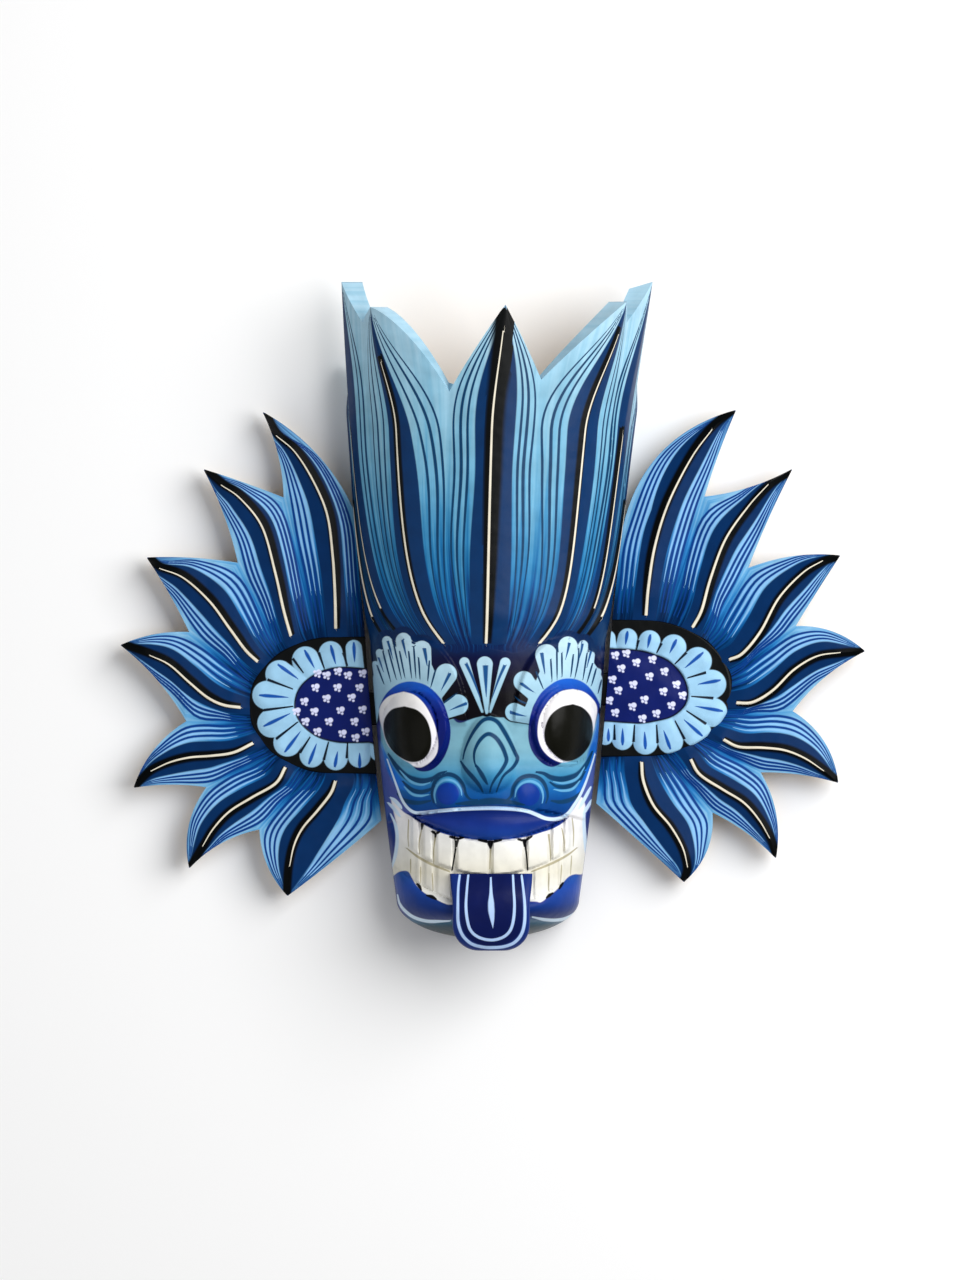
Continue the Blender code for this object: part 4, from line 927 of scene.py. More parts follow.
def enamel(name, blues, coats, shine=0.08):
    """Gloss enamel: washes of blue that pale along the flames, streaked by the brush, and the coats over
    them. A line shows where its field is between -1 and 1, a region where it is above 0. Shine is the
    strength of the mirror image in the lacquer, 0.5 for a fresh coat and less for a rubbed one."""
    material = bpy.data.materials.new(name)
    material.use_nodes = True
    tree = material.node_tree
    shader = tree.nodes["Principled BSDF"]
    here = add(tree, "ShaderNodeTexCoord").outputs["Object"]
    split = add(tree, "ShaderNodeSeparateXYZ", {0: here})
    low, high = FACE_LOW * MM, FACE_HIGH * MM
    height = add(tree, "ShaderNodeMapRange", {0: split.outputs["Y"], 1: low, 2: high}).outputs[0]
    fields = {kind: add(tree, "ShaderNodeAttribute", attribute_name=kind).outputs["Fac"]
              for kind in ("rise", "place")}
    across = add(tree, "ShaderNodeMath", {0: fields["place"], 1: STREAKS}, operation="MULTIPLY").outputs[0]
    along = add(tree, "ShaderNodeMath", {0: fields["rise"], 1: 2.0}, operation="MULTIPLY").outputs[0]
    brushed = add(tree, "ShaderNodeCombineXYZ", {0: across, 1: along}).outputs[0]
    streak = add(tree, "ShaderNodeTexNoise", {"Vector": brushed, "Scale": 1.0, "Detail": 3.0}).outputs[0]
    shift = add(tree, "ShaderNodeMapRange", {0: streak, **STREAK_RANGE, 3: -STREAK_SHIFT, 4: STREAK_SHIFT})
    uneven = add(tree, "ShaderNodeMath", {0: fields["rise"], 1: shift.outputs[0]}, operation="ADD").outputs[0]
    colour = add(tree, "ShaderNodeValToRGB", {0: uneven}, blues).outputs[0]
    relief = add(tree, "ShaderNodeMath", {0: streak, 1: STREAK_DEPTH}, operation="MULTIPLY").outputs[0]
    for field, form, soft, paint in coats:
        value = add(tree, "ShaderNodeAttribute", attribute_name=field).outputs["Fac"]
        if form == "line":
            size = add(tree, "ShaderNodeMath", {0: value}, operation="ABSOLUTE").outputs[0]
            value = add(tree, "ShaderNodeMath", {0: 1.0, 1: size}, operation="SUBTRACT").outputs[0]
        cover = add(tree, "ShaderNodeMapRange", {0: value, 1: -soft, 2: soft},
                    interpolation_type="SMOOTHSTEP").outputs[0]
        if not isinstance(paint, str):
            knots = sorted(((at - FACE_LOW) / (FACE_HIGH - FACE_LOW), code) for at, code in paint)
            paint = add(tree, "ShaderNodeValToRGB", {0: height}, knots).outputs[0]
        else:
            paint = srgb(paint)
        colour = add(tree, "ShaderNodeMix", {0: cover, 6: colour, 7: paint}, data_type="RGBA").outputs[2]
        raised = add(tree, "ShaderNodeMath", {0: cover, 1: COAT_THICKNESS}, operation="MULTIPLY").outputs[0]
        relief = add(tree, "ShaderNodeMath", {0: relief, 1: raised}, operation="ADD").outputs[0]
    mottle = add(tree, "ShaderNodeTexNoise", {"Vector": here, "Scale": 1 / (MOTTLE * MM), "Detail": 4.0})
    tone = add(tree, "ShaderNodeMapRange", {0: mottle.outputs[0], **STREAK_RANGE, 3: DARKEST, 4: PALEST})
    colour = add(tree, "ShaderNodeHueSaturation", {"Value": tone.outputs[0], "Color": colour}).outputs[0]
    tree.links.new(colour, shader.inputs["Base Color"])
    cut = add(tree, "ShaderNodeTexNoise", {"Vector": here, "Scale": 1 / (FACET * MM), "Detail": 1.0})
    facets = add(tree, "ShaderNodeMath", {0: cut.outputs[0], 1: FACET_DEPTH, 2: relief},
                 operation="MULTIPLY_ADD").outputs[0]
    bump = add(tree, "ShaderNodeBump", {"Height": facets, "Distance": MM, "Strength": 1.0}).outputs[0]
    tree.links.new(bump, shader.inputs["Normal"])
    gloss = add(tree, "ShaderNodeMapRange", {0: streak, **STREAK_RANGE, 3: GLOSSIEST, 4: DULLEST}).outputs[0]
    tree.links.new(gloss, shader.inputs["Roughness"])
    shader.inputs["IOR"].default_value = 1.5
    shader.inputs["Specular IOR Level"].default_value = shine
    shader.inputs["Coat Weight"].default_value = 0.6 * shine
    shader.inputs["Coat Roughness"].default_value = 0.2
    return material


def stretched(across, along):
    """Pattern scale of one repeat in so many millimetres across the grain and along it, which is up y."""
    return 1 / (across * MM), 1 / (along * MM), 1 / (across * MM)


# Kaduru's grain lines are well under a millimetre apart, and are drawn 1.1 mm apart so that they show.
GRAIN = (1.1, 38.0)
GROWTH_RINGS = (9.0, 240.0)
FLUTES = (8.0, 26.0)
wood = bpy.data.materials.new("bare kaduru wood, gouged")
wood.use_nodes = True
tree = wood.node_tree
shader = tree.nodes["Principled BSDF"]
here = add(tree, "ShaderNodeTexCoord").outputs["Object"]
drawn = add(tree, "ShaderNodeMapping", {0: here, "Scale": stretched(*GRAIN)})
grain = add(tree, "ShaderNodeTexNoise", {0: drawn.outputs[0], "Scale": 1.0, "Detail": 4.0}).outputs[0]
rings = add(tree, "ShaderNodeMapping", {0: here, "Scale": stretched(*GROWTH_RINGS)})
broad = add(tree, "ShaderNodeTexNoise", {0: rings.outputs[0], "Scale": 1.0, "Detail": 2.0}).outputs[0]
both = add(tree, "ShaderNodeMix", {0: 0.45, 2: grain, 3: broad}).outputs[0]
tan = add(tree, "ShaderNodeValToRGB", {0: both}, ((0.3, "#b08d5e"), (0.45, "#cfae7c"), (0.6, "#dfc595"),
                                                  (0.75, "#e9d5ac"))).outputs[0]
tree.links.new(tan, shader.inputs["Base Color"])
flutes = add(tree, "ShaderNodeMapping", {0: here, "Scale": stretched(*FLUTES)})
gouge = add(tree, "ShaderNodeTexVoronoi", {0: flutes.outputs[0], "Scale": 1.0, "Smoothness": 0.4},
            feature="SMOOTH_F1").outputs[0]
carving = add(tree, "ShaderNodeMath", {0: grain, 1: 0.15}, operation="MULTIPLY").outputs[0]
carving = add(tree, "ShaderNodeMath", {0: gouge, 1: 1.1, 2: carving}, operation="MULTIPLY_ADD").outputs[0]
bump = add(tree, "ShaderNodeBump", {"Height": carving, "Distance": MM, "Strength": 0.8}).outputs[0]
tree.links.new(bump, shader.inputs["Normal"])
shader.inputs["Roughness"].default_value = 0.72
for paint in (enamel("blue gloss enamel, face and crown", CROWN_BLUES, FACE_COATS), wood):
    mask_data.materials.append(paint)




# The boards of flames at the ears
# A flat board of the same light wood stands out at each ear, sawn to seven flames whose low ridges and
# webs are carved in its face. A tenon on its straight edge is glued in the mask's side.
BOARD_UNDER = 8.0
WEB_HEIGHT, EDGE_HEIGHT, RING_HEIGHT = 7.0, 7.5, 7.5
FLAME_HEIGHT, TIP_HEIGHT = 9.8, 8.4
BOARD_GAP = 2.2
RING_SIZE = (39.6, 31.7)
RING_INSIDE = 0.94
TIP_HALF = 0.25
WEB_ROWS, EDGE_ROWS, HALF_COLUMNS = 60, 83, 24
NOTCH_RISE, NOTCH_FADE = 0.55, 0.3
WEB_ROOT, RIDGE_ROOT, ROOT_LIFT = 0.08, 0.16, 0.3
TIP_START, TIP_FADE = 0.8, 0.2
HOLLOWING = 1.15
CREAM_POINTS, STRIPE_POINTS = 40, 48
STRIPE_WIDTH = (1.3, 2.2, 2.4, 2.2, 2.0)
HAIR_SPAN, PALE_SPAN = slice(6, -10, 5), slice(20, -22, 5)
# Notches: angle and reach from the flower's centre. Flames: angle of the root, angle and reach of the
# tip, bow of the two edges, how far the black stripe leans to a side, and points of the cream line
LEFT_BOARD = {
    "name": "left",
    "side": -1,
    "centre": (-72.6, -40.9),
    "tenon_y": -42.5,
    "notches": ((86.4, 90.2), (103.8, 98.1), (124.2, 79), (153.3, 74.7), (186.2, 68.5), (212.6, 69.9),
        (238.8, 66.7), (275, 53.1)),
    "flames": ((89, 103.7, 138.2, -0.08, -0.055, -0.5, ((-72.1, -5.8), (-72.4, 9.7), (-73.5, 28.1),
        (-76, 46.5), (-82.2, 61.6), (-90.7, 75.1), (-99.7, 83))),
        (122, 119, 123.5, -0.01, -0.035, -0.5, ((-92.6, -9.4), (-96, 2.8), (-99.9, 20.2), (-105.8, 40.8),
        (-115.8, 53.8), (-125, 60.3))), (150, 141.8, 109.4, -0.025, -0.02, -0.45, ((-107.8, -21),
        (-113.5, -15.6), (-120.9, -5.5), (-130.1, 6.9), (-142, 17.5), (-153.1, 21.9))),
        (182, 164.3, 101.8, -0.06, -0.05, -0.4, ((-115.2, -42), (-123.6, -40.8), (-131, -37.3),
        (-139.3, -30.4), (-148.5, -22.3), (-157.7, -17.9))),
        (204, 202.3, 99.4, -0.09, -0.04, -0.1, ((-109.6, -58.1), (-119, -62.6), (-129.1, -64.1),
        (-139.3, -64.9), (-148.5, -67.2), (-157.2, -71.3))),
        (232, 228.2, 100, -0.11, -0.08, 0.1, ((-95.1, -69.2), (-99.7, -76.8), (-110.7, -83.3),
        (-120.9, -89.7), (-128.2, -97.5), (-133.3, -105.8))),
        (270, 256.1, 90, -0.09, 0.01, -0.2, ((-72.1, -75.4), (-74.4, -81.4), (-80.4, -89.2),
        (-87.3, -97.3), (-91.2, -105.3), (-93.3, -115)))),
}
RIGHT_BOARD = {
    "name": "right",
    "side": 1,
    "centre": (67.7, -33.1),
    "tenon_y": -33.5,
    "notches": ((95.2, 73.4), (71.5, 92.7), (48.1, 74.1), (21.8, 76.8), (-8.6, 70.7), (-35, 67.4),
        (-59.9, 66), (-97.4, 53.3)),
    "flames": ((87.5, 71.1, 134.7, 0.15, 0.015, -0.4, ((70.2, -0.5), (71.4, 13.8), (74.4, 32.4),
        (80.6, 52), (91.1, 72.6), (100.9, 86))), (50, 55.3, 122, -0.05, 0.015, 0.3, ((91.6, -5.3),
        (95.8, 2.8), (99.9, 17.4), (106.8, 35.4), (117.4, 50.6), (126.6, 60.7))),
        (18, 33.6, 109.8, 0.06, 0.005, 0.2, ((108.2, -20.1), (114.7, -17), (122.9, -6.9), (131.2, 8.3),
        (142.2, 19.9), (151.5, 25.5))), (-8.5, 9.4, 104.2, 0.10, 0.06, 0.1, ((111.4, -39.8),
        (119.3, -39.5), (128.5, -34), (138.1, -24.6), (148.7, -18.4), (159.7, -16.7))),
        (-32, -25.5, 100.4, 0.12, 0.04, -0.2, ((105.6, -56.6), (112.8, -60), (123.9, -60.4), (134, -61.6),
        (143.2, -65.3), (151.9, -71.1))), (-54, -51.4, 99.5, 0.09, 0.045, -0.2, ((90.5, -65.3),
        (94.9, -72.7), (105.5, -79.6), (115.1, -85.6), (122, -93.4), (127.1, -102.1))),
        (-89, -77.4, 91, 0.125, 0.005, 0.1, ((68.2, -66.7), (69.1, -75.9), (73.7, -86.9), (81.5, -96.4),
        (87.1, -106.3), (89.4, -115.5)))),
}
BOARD_BANDS = ((0.42, 0.4, 0.42, 0.52, 1.15), (0.62, 0.57, 0.56, 0.64, 1.2), (0.78, 0.72, 0.7, 0.76, 1.2),
    (0.93, 0.87, 0.84, 0.88, 1.2))
BOARD_HAIRS = ((0.2, 0.55, 0.55, 0.45, 0.1), (0.2, 0.6, 0.6, 0.4, 0.1), (0.2, 0.6, 0.6, 0.4, 0.1))
BOARD_PALE = (0.1, 0.45, 0.8, 0.7, 0.1)
BOARD_BLUES = ((0.0, "#011c42"), (0.08, "#03305f"), (0.22, "#0e5696"), (0.36, "#2a7abc"),
    (0.5, "#5c9ece"), (0.65, "#86b8da"), (0.8, "#6aa4d2"), (1.0, "#1c4a84"))


def polar(centre, angle, reach):
    """Point at this angle and reach from the centre."""
    turn = np.radians(angle)
    return np.array([centre[0] + reach * np.cos(turn), centre[1] + reach * np.sin(turn)])


def ring_point(board, angle, share):
    """Point on the flower's oval at this angle, drawn in to a share of the way from the centre."""
    turn = np.radians(angle)
    reach = 1 / np.hypot(np.cos(turn) / RING_SIZE[0], np.sin(turn) / RING_SIZE[1])
    return polar(board["centre"], angle, share * reach)


def inner_edge(board, y):
    """Points at these heights on the board's straight edge, a gap away from the mask."""
    axis, half, _ = log_section(y)
    slim = LEFT_SLIM if board["side"] < 0 else 0.0
    return np.stack([axis + board["side"] * (half - slim + BOARD_GAP), y], axis=-1)


def bowed(start, end, belly, shares):
    """Points of a curve from start to end that bows to its left by a share of its length: 4bs(1 - s)."""
    along = end - start
    aside = np.array([-along[1], along[0]]) * belly
    return start + along * shares[:, None] + aside * (4 * shares * (1 - shares))[:, None]


def along_path(path, shares):
    """Points at these shares of a path's length."""
    run = np.append(0.0, np.cumsum(np.hypot(*np.diff(path, axis=0).T)))
    return np.stack([np.interp(shares * run[-1], run, path[:, k]) for k in (0, 1)], axis=1)


def board_strip(board, number):
    """Rows of one flame: points of its ridge, of its two sides, and the share of its height. A side runs
    up the web to the notch, and then along the sawn edge to the tip."""
    centre, flames = board["centre"], board["flames"]
    flame = flames[number]
    tip = polar(centre, *flame[1:3])
    ridge = curve([ring_point(board, flame[0], RING_INSIDE), *flame[6], tip], 240)
    normal = np.array([ridge[-3, 1] - tip[1], tip[0] - ridge[-3, 0]])
    normal = normal / np.hypot(*normal)
    web, edge = np.linspace(0, 1, WEB_ROWS), np.linspace(0, 1, EDGE_ROWS + 1)[1:]
    sides, abreast = {}, []
    for side, other in ((-1, number - 1), (1, number + 1)):
        k = number + (side > 0)
        notch = polar(centre, *board["notches"][k])
        if 0 <= other < len(flames):
            start = ring_point(board, (flames[other][0] + flame[0]) / 2, RING_INSIDE)
            up = start + (notch - start) * web[:, None]
        else:
            low = centre[1] - side * RING_SIZE[1] * RING_INSIDE
            up = inner_edge(board, low + (notch[1] - low) * web)
            notch = up[-1]
        abreast.append(np.hypot(*(ridge - notch).T).argmin() / len(ridge))
        blunt = normal * TIP_HALF * np.sign(normal @ (notch - ridge[int(abreast[-1] * len(ridge))]))
        sides[side] = np.vstack([up, bowed(notch, tip + blunt, flame[3 + (side > 0)], edge)])
    at_notch = sum(abreast) / 2
    rows = along_path(ridge, np.append(web * at_notch, at_notch + edge * (1 - at_notch)))
    return rows, sides, np.append(web * NOTCH_RISE, NOTCH_RISE + edge * (1 - NOTCH_RISE))


def slab(name, top, under, faces, fields):
    """A closed piece between a surface and its underside, with walls along the surface's open edges; each
    of the three has its own finish."""
    spots = np.unique(np.round(top, 3), axis=0, return_inverse=True)[1].reshape(-1)
    ends = np.stack([faces, np.roll(faces, -1, axis=1)], axis=-1).reshape(-1, 2)
    start, stop = spots[ends].T
    count = len(top)
    rim_edges = ends[~np.isin(start * count + stop, stop * count + start) & (start != stop)]
    walls = np.concatenate([rim_edges[:, ::-1], rim_edges + count], axis=1)
    fields = {field: np.tile(values, 2) for field, values in fields.items()}
    finish = np.repeat([0, 1, 2], [len(faces), len(faces), len(walls)])
    every_face = np.concatenate([faces, faces[:, ::-1] + count, walls])
    return new_piece(name, np.concatenate([top, under]), every_face.tolist(), fields, finish)


def flame_board(board):
    """The board: seven strips side by side, each a ridge that falls to its two sides as (1 - s)^1.15. The
    strips start level with the half flower, and their ridges sink a little to the tips."""
    across = np.linspace(-1, 1, 2 * HALF_COLUMNS + 1)
    spread = np.abs(across)
    points, faces, fields = [], [], {"place": [], "rise": [], "band": []}
    creams, blacks, hairs, pales = [], [], [], []
    for number, flame in enumerate(board["flames"]):
        ridge, sides, rise = board_strip(board, number)
        chosen = np.where(across[None, :, None] < 0, sides[-1][:, None], sides[1][:, None])
        flat = ridge[:, None] + (chosen - ridge[:, None]) * spread[None, :, None]
        low = WEB_HEIGHT + (EDGE_HEIGHT - WEB_HEIGHT) * smooth((rise - NOTCH_RISE) / NOTCH_FADE)
        low = low + (RING_HEIGHT - low) * (1 - smooth(rise / WEB_ROOT))
        high = FLAME_HEIGHT + (TIP_HEIGHT - FLAME_HEIGHT) * smooth((rise - TIP_START) / TIP_FADE)
        high = high + (RING_HEIGHT + ROOT_LIFT - high) * (1 - smooth(rise / RIDGE_ROOT))
        height = low[:, None] + (high - low)[:, None] * (1 - spread[None]) ** HOLLOWING
        rows, columns = height.shape
        faces.append(sheet(rows, columns, sum(len(p) for p in points)))
        points.append(np.dstack([flat, BOARD_UNDER + height]).reshape(-1, 3))
        reach = np.hypot(*np.moveaxis(chosen - ridge[:, None], -1, 0))
        run = np.append(0.0, np.cumsum(np.hypot(*np.diff(ridge, axis=0).T)))
        run = run / run[-1]
        band = reach * band_share(BOARD_BANDS[0], run)[:, None]
        band = np.stack([swept(column[:, None], run, run)[:, 0] for column in band.T[[0, -1]]])
        band = np.where(across[None] < 0, band[0][:, None], band[1][:, None]) - reach * spread[None]
        values = (np.broadcast_to(2 * number + 1 + across, height.shape),
                  np.broadcast_to(rise[:, None], height.shape), band)
        for field, value in zip(fields, values):
            fields[field].append(value.ravel())
        creams.append(brush(curve(flame[6], CREAM_POINTS), CREAM_WIDTH))
        dark = curve([*flame[6], polar(board["centre"], *flame[1:3])], STRIPE_POINTS)
        step = np.gradient(dark, axis=0)
        aside = np.stack([step[:, 1], -step[:, 0]], axis=1) / np.hypot(*step.T)[:, None] * -board["side"]
        stripe = np.interp(np.linspace(0, 1, STRIPE_POINTS), FLAME_STATIONS, STRIPE_WIDTH)
        blacks.append((dark - aside * (stripe * flame[5])[:, None], stripe))
        for side, edge in sides.items():
            for shares, widths in zip(BOARD_BANDS[1:], BOARD_HAIRS):
                line = ridge + swept((edge - ridge) * band_share(shares, run)[:, None], run, run)
                hairs.append(brush(line[HAIR_SPAN], widths))
            for near, far in zip(BOARD_BANDS, BOARD_BANDS[1:]):
                shares = (band_share(near, run) + band_share(far, run)) / 2
                line = ridge + swept((edge - ridge) * shares[:, None], run, run)
                pales.append(brush(line[PALE_SPAN], BOARD_PALE))
    top = np.concatenate(points)
    under = top * (1, 1, 0) + (0, 0, BOARD_UNDER)
    fields = {field: np.concatenate(values) for field, values in fields.items()}
    piece = slab(board["name"] + "_flames_carved", top, under, np.concatenate(faces), fields)
    seen = seen_from_above(piece.data)
    for name, strokes in (("pale", pales), ("hair", hairs), ("black", blacks), ("cream", creams)):
        draw_lines(piece.data, name, seen, strokes)
    return piece


# The boards' enamel looks deep and almost without a mirror image, rubbed by dusting: black stays black.
# The same blues on the sawn edges are one broad brush stroke each, with no lines.
BOARD_SHINE = 0.03
EDGE_BLUES = ((0.0, "#03305f"), (0.4, "#0e5696"), (0.7, "#3a84be"), (1.0, "#1c4a84"))
BOARD_COATS = (("pale", "line", 0.9, "#86bae6"), ("band", "region", 0.4, "#072c5a"),
    ("hair", "line", 0.4, "#0a3a82"), ("black", "line", 0.3, LAMP_BLACK), ("cream", "line", 0.3, CREAM))
board_enamel = enamel("blue gloss enamel, boards of flames", BOARD_BLUES, BOARD_COATS, shine=BOARD_SHINE)
edge_enamel = enamel("blue gloss enamel, sawn edges", EDGE_BLUES, ())
for board in (LEFT_BOARD, RIGHT_BOARD):
    flames = flame_board(board)
    for paint in (board_enamel, wood, edge_enamel):
        flames.data.materials.append(paint)
    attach(flames, "root")
    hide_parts(board["name"] + "_ear_flames")


# The half flowers at the ears
# Carved with each board, a half flower stands over the roots of the flames: eleven petals, each with a
# blue drop, round a dark heart that is dotted all over with small brush marks.
FLOWER_SIZES = {"left": (39.6, 31.7), "right": (42.4, 31.7)}
ARC_ROWS, ARC_COLUMNS = 200, 96
BORDER_HEIGHT, HEART_HEIGHT, HEART_DOME = 8.1, 7.9, 1.0
PETAL_SWELL, PETAL_SHOULDER, HEART_SHOULDER, HEART_LIP = 1.3, 4.0, 12.0, 0.6
RIM_DROP, RIM_FROM, RIM_WIDTH = 0.9, 0.97, 0.03
FLOWER_PETALS = {
    "left": (((-63.8, -14.7), (-62.9, -23.9), 3.7, 3.8), ((-74.4, -17), (-72.1, -23.9), 5.4, 4.7),
        ((-85.9, -20.2), (-82.2, -25.8), 6.2, 4.9), ((-97.9, -26.7), (-89.1, -31.3), 6.4, 4.9),
        ((-103.8, -36.3), (-91.4, -35.9), 6.5, 5.5), ((-101.5, -49.2), (-91, -44.2), 6.5, 5.2),
        ((-94.2, -58), (-87.3, -51.1), 6.4, 4.9), ((-83.1, -63.9), (-80.8, -55.2), 5.5, 5.2),
        ((-72.1, -65.3), (-70.7, -58), 5.4, 5.5), ((-61.3, -64.4), (-61.3, -58.4), 5.1, 5.5),
        ((-53.2, -20.2), (-54.2, -23.9), 3.0, 3.1), ((-52.3, -62.6), (-53.2, -58), 4.0, 3.9)),
    "right": (((61.8, -10.1), (60.8, -14.7), 4.4, 4.4), ((71.9, -11.5), (70.5, -15.6), 4.9, 4.9),
        ((82.9, -14.3), (79.2, -19.3), 5.8, 4.9), ((94, -20.7), (86.6, -25.8), 6.4, 5.2), ((100.4, -31.3),
        (90.3, -32.7), 6.6, 5.7), ((100.9, -44.2), (89.8, -40), 6.6, 5.7), ((93.5, -53.4), (86.1, -46),
        6.6, 5.7), ((81.5, -57.5), (78.8, -48.8), 5.7, 5.5), ((70, -58), (70, -49.7), 5.5, 5.7),
        ((59.5, -56.6), (59.5, -49.2), 4.8, 5.5), ((51.6, -55.7), (52.1, -49.7), 3.4, 4.2),
        ((52.6, -10.1), (53, -14.7), 3.6, 3.6)),
}
FLOWER_DROPS = {
    "left": (((-63.8, -12), (-63.4, -21.2)), ((-74.4, -13.3), (-72.1, -22.1)), ((-86.4, -15.6),
        (-81.8, -23.9)), ((-98.8, -22.1), (-89.1, -29)), ((-107.5, -36.3), (-93.7, -37.3)),
        ((-105.2, -50.6), (-92.8, -44.6)), ((-95.6, -62.6), (-88.2, -52.9)), ((-84.5, -68.1),
        (-80.8, -58.4)), ((-72.6, -69.5), (-71.2, -62.1)), ((-61.1, -69.9), (-61.1, -62.6))),
    "right": (((61.8, -6.9), (60.8, -13.3)), ((72.3, -8.3), (71, -14.7)), ((84.3, -10.6), (81.1, -17)),
        ((96.7, -16.6), (88, -23.9)), ((104.5, -29.4), (94, -31.3)), ((105.9, -43.7), (93, -41.4)),
        ((96.3, -55.2), (87.5, -47.4)), ((81.5, -61.2), (78.3, -52.4)), ((70, -61.2), (69.6, -52.9)),
        ((59.5, -59.3), (59.5, -51.5)), ((53, -57.5), (53, -51.5))),
}
SEPARATORS = {
    "left": (((-91.9, -19.3), (-86.8, -26.2)), ((-103.8, -29), (-91.4, -33.6)), ((-105.2, -43.2),
        (-91.4, -41.4)), ((-99.7, -56.6), (-89.1, -48.3)), ((-88.7, -63), (-83.6, -55.2)),
        ((-77.6, -66.2), (-75.3, -57.5)), ((-67, -65.3), (-66.6, -57.5)), ((-79.9, -16.6),
        (-77.2, -24.4)), ((-68.7, -16.6), (-66.6, -23))),
    "right": (((66.8, -11), (65.9, -15.6)), ((77.4, -12.4), (75.1, -17)), ((88.9, -16.6), (83.4, -22.1)),
        ((98.1, -25.8), (88.9, -28.5)), ((101.3, -37.7), (90.7, -36.8)), ((98.1, -49.7), (88.4, -43.2)),
        ((88, -56.6), (83.4, -47.8)), ((75.6, -58.4), (75.1, -49.7)), ((64.5, -58), (65, -49.7)),
        ((55.8, -57), (55.8, -49.7))),
}
HEARTS = {
    "left": ((-51.9, -23.9), (-59.7, -23.7), (-68, -23.2), (-74.9, -23.9), (-80.4, -25.8), (-85.9, -29.4),
        (-89.6, -34), (-91.2, -39.6), (-90.7, -44.6), (-88.7, -48.8), (-85, -52.7), (-80.4, -55.7),
        (-74.9, -57.5), (-68, -58.4), (-56.9, -58.2), (-50, -58)),
    "right": ((49.3, -14.7), (54.4, -14.7), (60.8, -15), (67.7, -15.6), (74.6, -17.5), (80.6, -20.2),
        (85.2, -24.4), (88.4, -29.4), (89.8, -35), (88.9, -40), (86.1, -43.7), (81.5, -46.7),
        (74.6, -48.5), (67.7, -49.5), (60.8, -49.2), (51.6, -48.5), (48.4, -48.3)),
}
HEART_MARKS = {
    "left": ((-80.4, -26.2), (-76.2, -27.1), (-71, -25.3), (-66.4, -27.1), (-59.7, -26.2), (-81.3, -32.7),
        (-71.2, -32.7), (-61.1, -32.7), (-86.4, -39.1), (-76.2, -37.7), (-64.7, -37.3), (-90, -43.7),
        (-81.8, -43.7), (-69.8, -43.2), (-59.7, -42.8), (-85.9, -48.3), (-75.1, -48.3), (-63.4, -48.3),
        (-80.4, -52.9), (-68.9, -53.8), (-62.9, -55.7), (-58.3, -52.9)),
    "right": ((56.2, -17.9), (61.3, -17), (65.9, -21.2), (73.3, -19.8), (59, -23.9), (78.8, -25.3),
        (71.9, -27.6), (54.9, -29), (84.3, -31.3), (64.5, -31.3), (57.6, -34), (78.3, -34.5),
        (87.1, -36.3), (69.6, -38.2), (53.5, -38.6), (64.1, -41.4), (82, -40.9), (56.2, -44.2),
        (75.1, -44.6), (68.7, -46.9)),
}
DROP_WIDTHS = (0.35, 0.85, 0.75, 0.5, 0.12)
SEPARATOR_WIDTHS = (0.7, 0.35, 0.3, 0.3)
DABS = ((0.6, 0.5, 1.2), (-1.3, 0.6, 0.72), (-0.9, -1.0, 0.66), (0.7, -1.55, 0.6))


def half_flower(board):
    """A closed D of relief: rows of a half oval's arc, and columns from the straight edge out to it. The
    walls draw in to the share of the oval where the board's own strips start."""
    name, side, centre = board["name"], board["side"], np.array(board["centre"])
    wide, tall = FLOWER_SIZES[name]
    turn = np.radians(np.linspace(90, -90, ARC_ROWS))
    arc = centre + np.stack([side * wide * np.cos(turn), tall * np.sin(turn)], axis=1)
    straight = inner_edge(board, arc[:, 1])
    share = np.linspace(0, 1, ARC_COLUMNS)[:, None]
    flat = straight[:, None] + (arc - straight)[:, None] * share[None]
    seen = flat.reshape(-1, 2)
    petals = petal_depth(seen, FLOWER_PETALS[name])
    heart = outline_depth(seen, HEARTS[name])
    out = np.maximum(side * (seen[:, 0] - centre[0]), 0)
    ring = np.hypot(out / wide, (seen[:, 1] - centre[1]) / tall)
    swell = np.sqrt(smooth(petals / PETAL_SHOULDER))
    height = BORDER_HEIGHT + np.where(petals > 0, PETAL_SWELL * swell, 0)
    dent = HEART_HEIGHT + HEART_DOME * smooth(heart / HEART_SHOULDER)
    height = height + (dent - height) * smooth((heart + HEART_LIP) / (2 * HEART_LIP))
    height = height - RIM_DROP * smooth((ring - RIM_FROM) / RIM_WIDTH) ** 2
    top = np.column_stack([seen, BOARD_UNDER + height])
    drawn_in = np.column_stack([centre[0] + (seen[:, 0] - centre[0]) * RING_INSIDE,
                                centre[1] + (seen[:, 1] - centre[1]) * RING_INSIDE])
    drawn_in[:, 0] = np.where(side * (drawn_in[:, 0] - seen[:, 0]) > 0, seen[:, 0], drawn_in[:, 0])
    under = np.column_stack([drawn_in, np.full(len(seen), BOARD_UNDER)])
    piece = slab(name + "_half_flower", top, under, sheet(ARC_ROWS, ARC_COLUMNS),
                 {"petals": petals, "heart": heart})
    spots = seen_from_above(piece.data)
    dabs = np.array([(x + a, y + b, radius) for x, y in HEART_MARKS[name] for a, b, radius in DABS])
    away = np.hypot(spots[:, :1] - dabs[:, 0], spots[:, 1:] - dabs[:, 1])
    store(piece.data, "marks", (dabs[:, 2] - away).max(axis=1))
    for field, strokes in (("drops", [brush(curve(line, 10), DROP_WIDTHS) for line in FLOWER_DROPS[name]]),
                           ("dark lines", [brush(line, SEPARATOR_WIDTHS) for line in SEPARATORS[name]])):
        draw_lines(piece.data, field, spots, strokes)
    return piece


